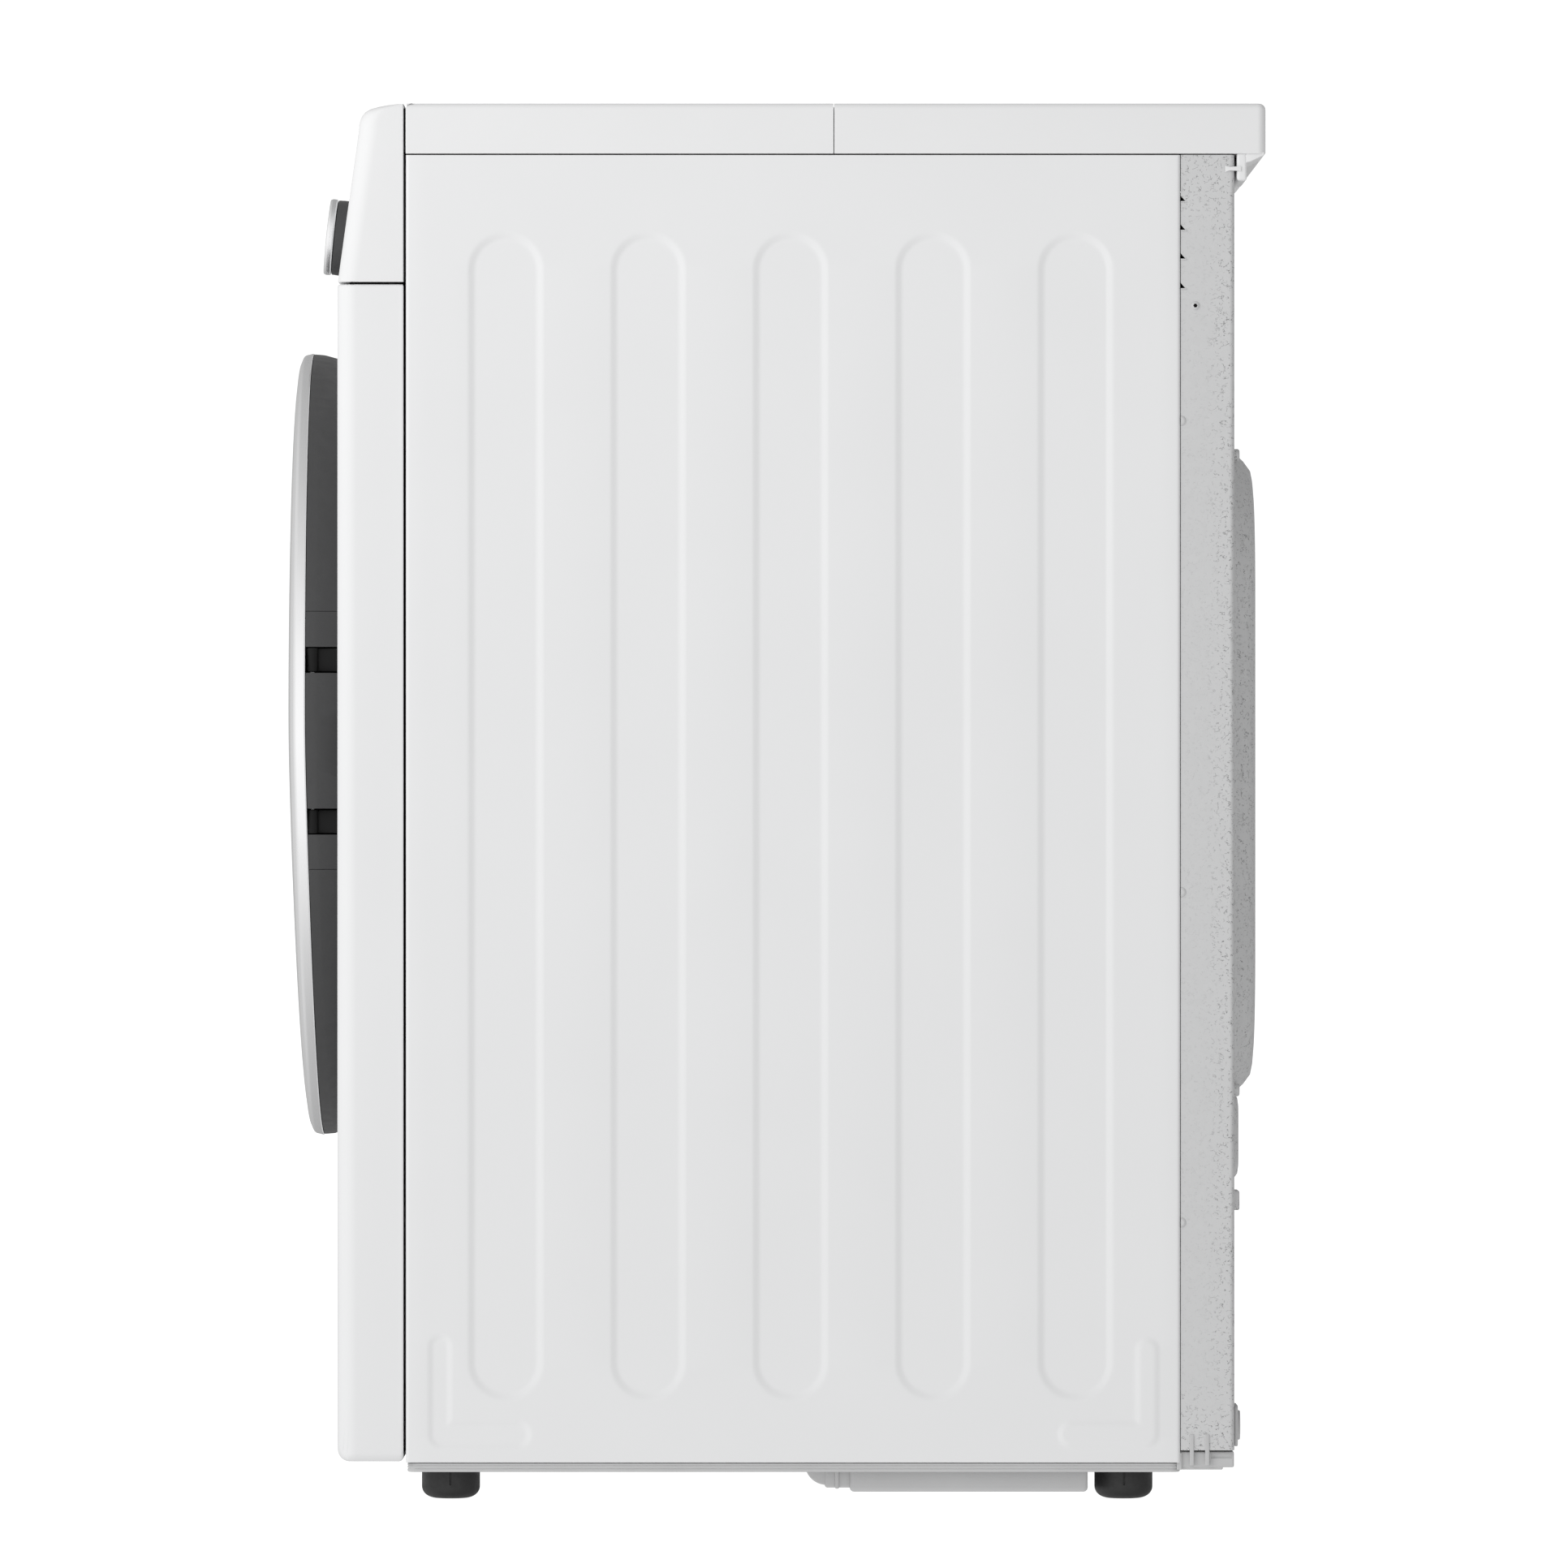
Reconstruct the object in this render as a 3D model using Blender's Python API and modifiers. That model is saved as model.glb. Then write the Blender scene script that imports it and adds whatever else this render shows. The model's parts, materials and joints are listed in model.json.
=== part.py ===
"""A front-loading heat pump clothes dryer, as an assembly of separate pieces.

Metres, +Z up. The front faces -Y and +X is the right-hand side of someone who faces the machine. The origin is on
the floor, under the middle of the machine's outline. Most pieces are placed by how far they lie behind the front
panel's face, which behind() turns into a Y coordinate.
"""

import math

import bmesh
import bpy
from mathutils import Matrix, Vector

# ---- Driving dimensions
WIDTH = 0.600
HEIGHT = 0.850
DEPTH = 0.597
DOOR_PROUD = 0.032  # how far the door stands in front of the front panel
PANEL_Y = DOOR_PROUD - DEPTH / 2
HALF = WIDTH / 2
SKIN = 0.0012  # sheet steel of the cabinet
GAP = 0.0003  # between pieces that touch

PANEL_DEPTH = 0.0405  # of the front panel and the control fascia, front to back
PANEL_LOW, PANEL_HIGH = 0.0237, 0.7400
PANEL_CORNER = 0.012  # upright corners of the front panel, seen from above
SIDE_FRONT, SIDE_BACK = 0.0420, 0.5130
SIDE_LOW, SIDE_HIGH = 0.0232, 0.8190
REAR_FACE = 0.5460
TOP_LOW, TOP_FRONT, TOP_SEAM, TOP_BACK = 0.8193, 0.0413, 0.3026, 0.5650
BASE_LOW, BASE_HIGH = 0.0170, 0.0225

RIB_COUNT, RIB_PITCH, FIRST_RIB = 5, 0.0866, 0.1027
RIB_RADIUS, RIB_LOW, RIB_HIGH, RIB_SINK = 0.0210, 0.0632, 0.7695, 0.0025

AXIS_Z = 0.461  # of the drum and of the door
DOOR_RADIUS, DOOR_BACK_RADIUS = 0.2450, 0.2408
DOOR_SEAM = 0.0212  # where the bright rim meets the dark back ring, in front of the panel
GLASS_RADIUS = 0.1960
HINGE_X, HINGE_PROUD = 0.2345, 0.0170
KNUCKLES = (0.4130, 0.5120)  # heights of the two hinge knuckles
KNUCKLE_RADIUS = 0.0038
KNUCKLE_LENGTH, NOTCH_LENGTH = 0.0146, 0.0160
COVER_LOW, COVER_HIGH = 0.3835, 0.5420
ARM_X = (HINGE_X - 0.0050, HINGE_X - 0.0018)  # the hinge's arms, clear of the rim as the door swings past
GRIP_X, GRIP_HALF = -0.2230, 0.0550  # the finger recess in the door's left edge: its bottom and half its height
LATCH_X = -0.2080

SLOPE = math.radians(7.9)  # of the control fascia, from upright
FASCIA_LOW, FASCIA_SLOPE_TOP = 0.7414, 0.8340
FASCIA_WALL = 0.0025
KNOB_Z, KNOB_TILT, KNOB_RADIUS = 0.7775, math.radians(5.9), 0.0239
BUTTON_X, BUTTON_RADIUS, BUTTON_Z = (0.2350, 0.2680), 0.0075, 0.7850
WINDOW_X, WINDOW_Z = (0.0500, 0.2050), (0.7650, 0.8180)

TANK_X = (-0.2850, -0.0900)
TANK_Z = (0.7525, 0.8120)
TANK_BACK = 0.4200

DRUM_RADIUS, DRUM_WALL = 0.2780, 0.0010
DRUM_FRONT, DRUM_BACK = 0.1120, 0.5000
DRUM_MOUTH, DRUM_NECK = 0.2050, 0.1040
THROAT_RADIUS, THROAT_OUTSIDE = 0.1830, 0.1872
FILTER_X, FILTER_FRONT, FILTER_BACK = 0.1130, 0.0765, 0.0980
FILTER_LOW, FILTER_HIGH = 0.1330, 0.2900

ROLLER_RADIUS, ROLLER_ANGLE = 0.0250, math.radians(35)
MOTOR_X, MOTOR_Z, MOTOR_RADIUS = -0.1900, 0.1250, 0.0450
PULLEY_RADIUS, IDLER_RADIUS = 0.0100, 0.0140
BELT_DEPTH, BELT_WIDTH, BELT_THICK = 0.2680, 0.0100, 0.0018
FAN_RADIUS = 0.0600

FOOT_X, FOOT_DEPTHS, FOOT_RADIUS = 0.2600, (0.0686, 0.4793), 0.01775

ROUND = 48  # sides of the large turned pieces
SMALL = 16  # sides of the small ones

parts = bpy.data.collections.new("clothes_dryer")
cutters = bpy.data.collections.new("cutters")


def behind(distance):
    """The Y coordinate of a point this far behind the front panel's face."""
    return PANEL_Y + distance


def clear_scene():
    for obj in list(bpy.data.objects):
        bpy.data.objects.remove(obj, do_unlink=True)
    for collection in (parts, cutters):
        bpy.context.scene.collection.children.link(collection)
    cutters.hide_render = True


def material(name, colour, roughness, metallic=0.0):
    made = bpy.data.materials.new(name)
    made.use_nodes = True
    shader = made.node_tree.nodes["Principled BSDF"]
    shader.inputs["Base Color"].default_value = (*colour, 1.0)
    shader.inputs["Roughness"].default_value = roughness
    shader.inputs["Metallic"].default_value = metallic
    return made


WHITE_STEEL = material("white_enamel", (0.84, 0.85, 0.86), 0.32)
WHITE_PLASTIC = material("white_plastic", (0.82, 0.83, 0.84), 0.42)
GREY_PLASTIC = material("grey_plastic", (0.33, 0.34, 0.35), 0.55)
DARK_PLASTIC = material("dark_plastic", (0.055, 0.057, 0.060), 0.45)
CHROME = material("bright_rim", (0.62, 0.63, 0.64), 0.22, 1.0)
DARK_GLASS = material("dark_glass", (0.012, 0.013, 0.015), 0.06)
CLEAR_GLASS = material("clear_glass", (0.75, 0.80, 0.80), 0.05)
RUBBER = material("rubber", (0.05, 0.05, 0.05), 0.75)
FELT = material("felt", (0.30, 0.28, 0.25), 0.95)
ZINC = material("galvanised_steel", (0.56, 0.57, 0.58), 0.45, 0.7)
STAINLESS = material("stainless_steel", (0.60, 0.60, 0.59), 0.28, 1.0)
BOARD = material("board", (0.50, 0.42, 0.33), 0.80)
CIRCUIT = material("circuit_board", (0.05, 0.20, 0.10), 0.50)
BLACK_STEEL = material("black_steel", (0.02, 0.02, 0.022), 0.45)
ALUMINIUM = material("aluminium_fins", (0.66, 0.67, 0.68), 0.35, 1.0)
IVORY = material("filter_mesh", (0.55, 0.60, 0.66), 0.60)


# ---- Shapes
def place(name, mesh, finish, matrix, helper=False):
    """A new object holding a mesh. A helper is a cutter or a shape to be joined to another, and isn't shown."""
    obj = bpy.data.objects.new(name, mesh)
    obj.matrix_world = matrix
    if helper:
        cutters.objects.link(obj)
        obj.hide_render = True
        obj.display_type = "WIRE"
    else:
        parts.objects.link(obj)
        mesh.materials.clear()
        mesh.materials.append(finish)
    return obj


def mesh_from(bm, name):
    mesh = bpy.data.meshes.new(name)
    bm.to_mesh(mesh)
    bm.free()
    mesh.shade_smooth()
    mesh.set_sharp_from_angle(angle=math.radians(35))
    return mesh


def box(name, low, high, finish=None, edge=0.0, matrix=None):
    """A box between two corners, with rounded edges if edge is given."""
    size = Vector(high) - Vector(low)
    bm = bmesh.new()
    bmesh.ops.create_cube(bm, size=1.0)
    bmesh.ops.scale(bm, vec=size, verts=bm.verts)
    if edge:
        bmesh.ops.bevel(bm, geom=bm.edges, offset=edge, segments=2, profile=0.5, affect="EDGES")
    centre = Matrix.Translation((Vector(low) + Vector(high)) / 2)
    return place(name, mesh_from(bm, name), finish, (matrix or Matrix()) @ centre, finish is None)


# Turns a shape's own +Z to the axis named, and for a flat outline its own X and Y to the other two.
TURN = {
    "X": Matrix(((0, 0, 1), (1, 0, 0), (0, 1, 0))).to_4x4(),
    "-Y": Matrix(((1, 0, 0), (0, 0, -1), (0, 1, 0))).to_4x4(),
    "Z": Matrix(),
}


def cylinder(name, centre, radius, length, axis="-Y", finish=None, sides=SMALL, matrix=None):
    bm = bmesh.new()
    bmesh.ops.create_cone(
        bm, cap_ends=True, segments=sides, radius1=radius, radius2=radius, depth=length
    )
    where = Matrix.Translation(centre) @ TURN[axis]
    return place(name, mesh_from(bm, name), finish, (matrix or Matrix()) @ where, finish is None)


def rod(name, x, z, radius, front, back, finish=None, sides=SMALL):
    """A cylinder that runs from front to back, given by how far its ends lie behind the front panel."""
    return cylinder(name, (x, behind((front + back) / 2), z), radius, back - front, "-Y", finish, sides)


def turned(name, profile, matrix, finish=None, steps=ROUND):
    """A solid turned about its own Z from (radius, height) points: a closed loop clear of the axis, or a chain
    whose two ends lie on it."""
    solid = profile[0][0] == 0 and profile[-1][0] == 0
    pairs = list(zip(profile, profile[1:] + profile[:1]))
    turning = sum(a[0] * b[1] - b[0] * a[1] for a, b in pairs)
    points = profile if turning < 0 else profile[::-1]
    mesh = bpy.data.meshes.new(name)
    edges = [(i, (i + 1) % len(points)) for i in range(len(points) - (1 if solid else 0))]
    mesh.from_pydata([(r, 0, h) for r, h in points], edges, [])
    obj = place(name, mesh, finish, matrix, finish is None)
    screw = obj.modifiers.new("turn", "SCREW")
    screw.axis = "Z"
    screw.angle = 2 * math.pi
    screw.steps = screw.render_steps = steps
    screw.use_merge_vertices = True
    screw.merge_threshold = 0.00001
    screw.use_smooth_shade = True
    return obj


def about_axis(x, z, distance=0.0):
    """Where a piece turned about a front-to-back axis goes: its own +Z points to the front, and its own zero
    lies this far behind the front panel."""
    return Matrix.Translation((x, behind(distance), z)) @ TURN["-Y"]


def ring(name, inner, outer, front, back, finish=None, steps=ROUND, x=0.0, z=AXIS_Z):
    """A plain ring about a front-to-back axis."""
    profile = [(inner, -front), (outer, -front), (outer, -back), (inner, -back)]
    return turned(name, profile, about_axis(x, z), finish, steps)


def arc(x, y, radius, start, end, steps):
    """Points on an arc, with its angles in degrees."""
    angles = [math.radians(start + (end - start) * i / steps) for i in range(steps + 1)]
    return [(x + radius * math.cos(a), y + radius * math.sin(a)) for a in angles]


def pill(x, low, high, radius, steps=8):
    """The outline of an upright slot with round ends."""
    return arc(x, high - radius, radius, 0, 180, steps) + arc(x, low + radius, radius, 180, 360, steps)


def rounded(x0, y0, x1, y1, radius, steps=4):
    """The outline of a rectangle with round corners."""
    return (
        arc(x1 - radius, y1 - radius, radius, 0, 90, steps)
        + arc(x0 + radius, y1 - radius, radius, 90, 180, steps)
        + arc(x0 + radius, y0 + radius, radius, 180, 270, steps)
        + arc(x1 - radius, y0 + radius, radius, 270, 360, steps)
    )


def plate(name, outlines, axis, low, high, finish=None, matrix=None):
    """A flat piece cut to the first outline, with the other outlines as holes. It runs from low to high along its
    axis. Outlines are (Y, Z) for axis X, (X, Z) for axis -Y, and (X, Y) for axis Z."""
    curve = bpy.data.curves.new(name, "CURVE")
    curve.dimensions = "2D"
    curve.fill_mode = "BOTH"
    curve.extrude = (high - low) / 2
    for outline in outlines:
        spline = curve.splines.new("POLY")
        spline.points.add(len(outline) - 1)
        for point, (x, y) in zip(spline.points, outline):
            point.co = (x, y, 0, 1)
        spline.use_cyclic_u = True
    guide = bpy.data.objects.new(name + "_outline", curve)
    cutters.objects.link(guide)
    graph = bpy.context.evaluated_depsgraph_get()
    mesh = bpy.data.meshes.new_from_object(guide.evaluated_get(graph))
    bpy.data.objects.remove(guide, do_unlink=True)
    bm = bmesh.new()
    bm.from_mesh(mesh)
    bmesh.ops.remove_doubles(bm, verts=bm.verts, dist=0.000001)
    bmesh.ops.recalc_face_normals(bm, faces=bm.faces)
    offset = TURN[axis] @ Matrix.Translation((0, 0, (low + high) / 2))
    return place(name, mesh_from(bm, name), finish, (matrix or Matrix()) @ offset, finish is None)


def cut(target, *tools):
    for tool in tools:
        modifier = target.modifiers.new("cut", "BOOLEAN")
        modifier.operation = "DIFFERENCE"
        modifier.object = tool


def join(target, *tools):
    for tool in tools:
        modifier = target.modifiers.new("join", "BOOLEAN")
        modifier.operation = "UNION"
        modifier.object = tool


def keep(target, tool):
    modifier = target.modifiers.new("keep", "BOOLEAN")
    modifier.operation = "INTERSECT"
    modifier.object = tool


def hang(name, matrix, pieces):
    """An empty on a joint's axis, with the pieces that move together as its children."""
    empty = bpy.data.objects.new(name, None)
    empty.empty_display_size = 0.04
    empty.matrix_world = matrix
    parts.objects.link(empty)
    for piece in pieces:
        piece.parent = empty
        piece.matrix_parent_inverse = matrix.inverted()
    return empty


def span(x0, x1, front, back, z0, z1):
    """The low and high corners of a box given by its depths behind the front panel."""
    return (x0, behind(front), z0), (x1, behind(back), z1)


# ---- Cabinet
def foot_places():
    return [(x, depth) for depth in FOOT_DEPTHS for x in (-FOOT_X, FOOT_X)]


def base_pan():
    """The tub that carries the heat pump: a visible rim, low walls, a sump below that runs into an open skirt
    under the compressor, and a block at the rear."""
    back = 0.5129
    pan = box("base_pan", *span(-0.298, 0.298, 0.0429, back, BASE_LOW, BASE_HIGH), GREY_PLASTIC)
    join(pan, box("tub", *span(-0.284, 0.284, 0.0515, 0.5065, BASE_LOW + 0.0004, 0.100)))
    join(pan, box("sump", *span(-0.120, 0.286, 0.3120, 0.4570, 0.0048, 0.0190)))
    join(pan, box("sump_step", *span(-0.060, 0.283, 0.2960, 0.3130, 0.0072, 0.0190)))
    join(pan, cylinder("sump_nose", (0.1115, behind(0.2980), 0.0222), 0.0134, 0.3410, "X"))
    join(pan, box("rear_block", *span(-0.286, 0.286, 0.5110, 0.5458, 0.0202, 0.0300)))
    cut(pan, box("tub_inside", *span(-0.281, 0.281, 0.0545, 0.5035, 0.0205, 0.200)))
    cut(pan, box("sump_inside", *span(-0.117, 0.117, 0.3150, 0.4540, 0.0080, 0.0300)))
    cut(pan, box("skirt_inside", *span(0.120, 0.283, 0.3150, 0.4540, 0.0, 0.0160)))
    for x, depth in foot_places():
        cut(pan, cylinder("foot_thread", (x, behind(depth), 0.02), 0.0050, 0.05, "Z"))
    for x in (-0.118, 0.118):
        join(pan, box("duct_wall", *span(x - 0.0015, x + 0.0015, 0.0530, 0.2600, 0.0195, 0.0980)))


def side_panel(name, side):
    """A painted sheet with a flange at each upright edge and five pressed ribs, sunk from outside."""
    y0, y1 = behind(SIDE_FRONT), behind(SIDE_BACK)
    flange = HALF - 0.013
    outline = [
        (HALF, y0), (HALF, y1), (flange, y1), (flange, y1 - SKIN), (HALF - SKIN, y1 - SKIN),
        (HALF - SKIN, y0 + SKIN), (flange, y0 + SKIN), (flange, y0),
    ]  # fmt: skip
    outline = [(side * x, y) for x, y in outline]
    panel = plate(name, [outline], "Z", SIDE_LOW, SIDE_HIGH, WHITE_STEEL)
    for i in range(RIB_COUNT):
        y = behind(FIRST_RIB + i * RIB_PITCH)
        back = pill(y, RIB_LOW - SKIN, RIB_HIGH + SKIN, RIB_RADIUS + SKIN, 6)
        sunk = pill(y, RIB_LOW, RIB_HIGH, RIB_RADIUS, 6)
        inner = side * (HALF - RIB_SINK - SKIN)
        floor = side * (HALF - RIB_SINK)
        face = side * (HALF - SKIN / 2)
        outside = side * (HALF + 0.002)
        join(panel, plate("rib_back", [back], "X", min(inner, face), max(inner, face)))
        cut(panel, plate("rib_sink", [sunk], "X", min(floor, outside), max(floor, outside)))


def rear_wall():
    """A galvanised pan whose returned edges show behind the side panels, with a pressed swage, a tab that holds the
    hose, and air holes round the drum's bearing."""
    x = HALF - 0.0015
    front, face = behind(SIDE_BACK + 0.0003), behind(REAR_FACE)
    outline = [
        (-x, front), (-x, face), (x, face), (x, front), (x - SKIN, front), (x - SKIN, face - SKIN),
        (-x + SKIN, face - SKIN), (-x + SKIN, front),
    ]  # fmt: skip
    wall = plate("rear_panel", [outline], "Z", 0.0306, 0.8188, ZINC)
    join(wall, box("swage", *span(-0.150, 0.150, REAR_FACE - 0.0006, 0.5530, 0.1900, 0.2370)))
    cut(wall, box("swage_hollow", *span(-0.146, 0.146, 0.5400, 0.5518, 0.1940, 0.2330)))
    join(wall, box("hose_clip", *span(0.205, 0.235, REAR_FACE - 0.0006, 0.5510, 0.1750, 0.1870)))
    cut(wall, rod("bearing_hole", 0, AXIS_Z, 0.0270, 0.540, 0.550))
    for i in range(8):
        angle = math.radians(22.5 + 45 * i)
        x, z = 0.130 * math.cos(angle), AXIS_Z + 0.130 * math.sin(angle)
        cut(wall, rod("air_hole", x, z, 0.0260, 0.540, 0.550, sides=16))

    back = REAR_FACE + 0.0165
    duct = plate("rear_duct_cover", [rounded(-0.205, 0.238, 0.205, 0.648, 0.090, 8)], "-Y",
                 -behind(back), -behind(REAR_FACE + GAP), ZINC)  # fmt: skip
    bevel = duct.modifiers.new("pressed edge", "BEVEL")
    bevel.width = 0.012
    bevel.segments = 2
    bevel.limit_method = "ANGLE"
    hollow = plate("duct_hollow", [rounded(-0.192, 0.251, 0.192, 0.635, 0.080, 8)], "-Y",
                   -behind(back - SKIN), -behind(REAR_FACE - 0.01))  # fmt: skip
    cut(duct, hollow)

    outlet = box("drain_outlet", *span(0.250, 0.290, REAR_FACE + GAP, 0.5490, 0.0326, 0.0577), GREY_PLASTIC)
    join(outlet, rod("spout", 0.270, 0.0450, 0.0090, 0.5475, 0.5502))
    cut(outlet, rod("spout_bore", 0.270, 0.0450, 0.0060, 0.5476, 0.5600))

    gland = rod("cord_gland", -0.2350, 0.1000, 0.0130, REAR_FACE + GAP, 0.5520, RUBBER)
    join(gland, rod("gland_sleeve", -0.2350, 0.1000, 0.0070, 0.5510, 0.5600))
    cut(gland, rod("gland_bore", -0.2350, 0.1000, 0.0040, 0.5490, 0.5700))

    bore = 0.0133  # leaves room for the shaft's flats to turn
    hub = [(bore, -0.5120), (0.0260, -0.5120), (0.0260, -0.5410), (0.0440, -0.5410), (0.0440, -0.5445),
           (0.0260, -0.5445), (0.0260, -0.5460), (bore, -0.5460)]  # fmt: skip
    turned("bearing_housing", hub, about_axis(0, AXIS_Z), ALUMINIUM, SMALL)


def top_cover():
    """A board held in two plastic trims, which meet at a seam in each side."""
    inside, rim = HALF - 0.026, 0.0012
    front, seam, back = behind(TOP_FRONT), behind(TOP_SEAM), behind(TOP_BACK)
    board_front, board_back = behind(0.0700), behind(0.5320)
    u_front = [(-HALF, seam - GAP), (-HALF, front), (HALF, front), (HALF, seam - GAP),
               (inside, seam - GAP), (inside, board_front), (-inside, board_front), (-inside, seam - GAP)]  # fmt: skip
    u_back = [(-HALF, seam), (-inside, seam), (-inside, board_back), (inside, board_back), (inside, seam),
              (HALF, seam), (HALF, back), (-HALF, back)]  # fmt: skip
    for name, outline in (("top_trim_front", u_front), ("top_trim_rear", u_back)):
        plate(name, [outline], "Z", TOP_LOW, HEIGHT, WHITE_PLASTIC)
    rear = bpy.data.objects["top_trim_rear"]
    for side in (-1, 1):
        x0, x1 = sorted((side * 0.200, side * 0.290))
        join(rear, box("hook", *span(x0, x1, 0.5480, 0.5535, 0.8030, 0.8240)))
    x, y0, y1 = inside - GAP, board_front + GAP, board_back - GAP
    box("top_board", (-x, y0, 0.8280), (x, y1, HEIGHT - rim), WHITE_PLASTIC)


def front_panel():
    """A pressed panel with returned edges, a round hole for the door's bowl, and slots for hinge and latch."""
    x, y0, y1 = HALF - 0.0015, PANEL_Y, behind(PANEL_DEPTH)
    wall = 0.0016

    def plan(side, front, back, corner):
        return [(side, back), (-side, back)] + arc(-side + corner, front + corner, corner, 180, 270, 4) + arc(
            side - corner, front + corner, corner, 270, 360, 4)  # fmt: skip

    panel = plate("front_panel", [plan(x, y0, y1, PANEL_CORNER)], "Z", PANEL_LOW, PANEL_HIGH, WHITE_STEEL)
    inside = plan(x - wall, y0 + wall, y1 + 0.01, PANEL_CORNER - wall)
    cut(panel, plate("panel_inside", [inside], "Z", PANEL_LOW + wall, PANEL_HIGH - wall))
    cut(panel, rod("door_hole", 0, AXIS_Z, 0.1860, -0.01, 0.01, sides=ROUND))
    cut(panel, box("latch_slot", *span(-0.2160, -0.2000, -0.01, 0.01, 0.4500, 0.4720)))
    for z in KNUCKLES:
        half = KNUCKLE_LENGTH / 2 + GAP
        cut(panel, box("hinge_slot", *span(ARM_X[0] - GAP, ARM_X[1] + GAP, -0.01, 0.01, z - half, z + half)))
    seal = [(0.1855, -0.0019), (0.1855, -0.0455), (0.1825, -0.0455), (0.1825, -0.0120), (0.1775, -0.0060),
            (0.1775, -0.0035), (0.1800, -0.0019)]  # fmt: skip
    turned("door_seal", seal, about_axis(0, AXIS_Z), RUBBER)
    catch = box("door_catch", *span(-0.2260, -0.1905, 0.0023, 0.0300, 0.4400, 0.4820), DARK_PLASTIC)
    cut(catch, box("catch_pocket", *span(-0.2165, -0.1995, -0.01, 0.0240, 0.4495, 0.4725)))


# ---- Control fascia
def slope_frame(x, z):
    """A frame on the fascia's face: its own X is the machine's, its own -Y points out and its own Z runs up."""
    depth = (z - 0.7434) * math.tan(SLOPE) + 0.0005
    return Matrix.Translation((x, behind(depth), z)) @ Matrix.Rotation(-SLOPE, 4, "X")


def fascia_outline(inset, back):
    """The fascia seen from the side, shrunk by inset all round but at the back."""
    low, top = FASCIA_LOW + inset, HEIGHT - inset
    lean = math.tan(SLOPE)
    start = (low - 0.7434) * lean + 0.0005 + inset
    end = (FASCIA_SLOPE_TOP - 0.7434) * lean + 0.0005 + inset
    curve = [(end + 0.0020, top - 0.0075 + inset / 2), (end + 0.0050, top - 0.0033), (end + 0.0110, top - 0.0010)]
    points = [(start, low), (end, FASCIA_SLOPE_TOP)] + curve + [(0.0290, top), (back, top), (back, low)]
    return [(behind(depth), z) for depth, z in points]


def control_fascia():
    x = HALF - 0.0015
    fascia = plate("control_fascia", [fascia_outline(0.0, PANEL_DEPTH)], "X", -x, x, WHITE_PLASTIC)
    cut(fascia, plate("fascia_inside", [fascia_outline(FASCIA_WALL, 0.060)], "X", -x + 0.0025, x - 0.0025))
    middle = slope_frame(0, 0.7850)
    x0, x1 = TANK_X[0] - 0.004, TANK_X[1] + 0.004
    cut(fascia, box("tank_hole", (x0, -0.02, -0.0360), (x1, 0.02, 0.0360), matrix=middle))
    up0, up1 = WINDOW_Z[0] - 0.7850, WINDOW_Z[1] - 0.7850
    cut(fascia, box("window_hole", (WINDOW_X[0], -0.02, up0), (WINDOW_X[1], 0.02, up1), matrix=middle))
    cut(fascia, cylinder("spindle_hole", (0, 0, 0), 0.0045, 0.04, matrix=slope_frame(0, KNOB_Z)))
    low = (WINDOW_X[0] + GAP, 0.0003, up0 + GAP)
    high = (WINDOW_X[1] - GAP, 0.0025, up1 - GAP)
    box("display_window", low, high, DARK_GLASS, matrix=middle)
    box("control_board", (-0.060, 0.0160, -0.0280), (0.285, 0.0185, 0.0300), CIRCUIT, matrix=middle)
    for name, x in zip(("power_button", "start_button"), BUTTON_X):
        frame = slope_frame(x, BUTTON_Z)
        cut(fascia, cylinder("button_hole", (0, 0, 0), BUTTON_RADIUS + 0.0004, 0.04, matrix=frame))
        button = cylinder(name, (0, 0.0030, 0), BUTTON_RADIUS, 0.0064, finish=WHITE_PLASTIC, matrix=frame)
        join(button, cylinder("stem", (0, 0.0080, 0), 0.0030, 0.0060, matrix=frame, sides=12))
        hang(name + "_travel", frame, [button])


def knob():
    lean = (KNOB_Z - 0.7434) * math.tan(SLOPE) + 0.0005
    where = Matrix.Translation((0, behind(lean), KNOB_Z)) @ Matrix.Rotation(-KNOB_TILT, 4, "X") @ TURN["-Y"]
    r = KNOB_RADIUS
    skirt = [(0, 0.0150), (r - 0.0012, 0.0150), (r - 0.0006, 0.0050), (r - 0.0008, 0.0018), (0.0030, 0.0018),
             (0.0030, -0.0110), (0, -0.0110)]  # fmt: skip
    cap = [(0, 0.0196), (r - 0.0045, 0.0202), (r - 0.0014, 0.0198), (r - 0.0002, 0.0188), (r, 0.0175),
           (r - 0.0004, 0.0153), (0, 0.0153)]  # fmt: skip
    base = turned("knob_base", skirt, where, DARK_PLASTIC, 40)
    bezel = turned("knob_bezel", cap, where, CHROME, 40)
    hang("knob_axis", where, [base, bezel])


# ---- Door
def back_ring(name, finish=None):
    r, rb, seam = DOOR_RADIUS, DOOR_BACK_RADIUS, DOOR_SEAM - GAP
    profile = [(r - 0.0003, seam), (rb, 0.0010), (0.1765, 0.0010), (0.1765, 0.0240), (0.1795, 0.0240),
               (0.1795, 0.0040), (rb - 0.0020, 0.0040), (r - 0.0023, seam)]  # fmt: skip
    return turned(name, profile, about_axis(0, AXIS_Z), finish)


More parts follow.
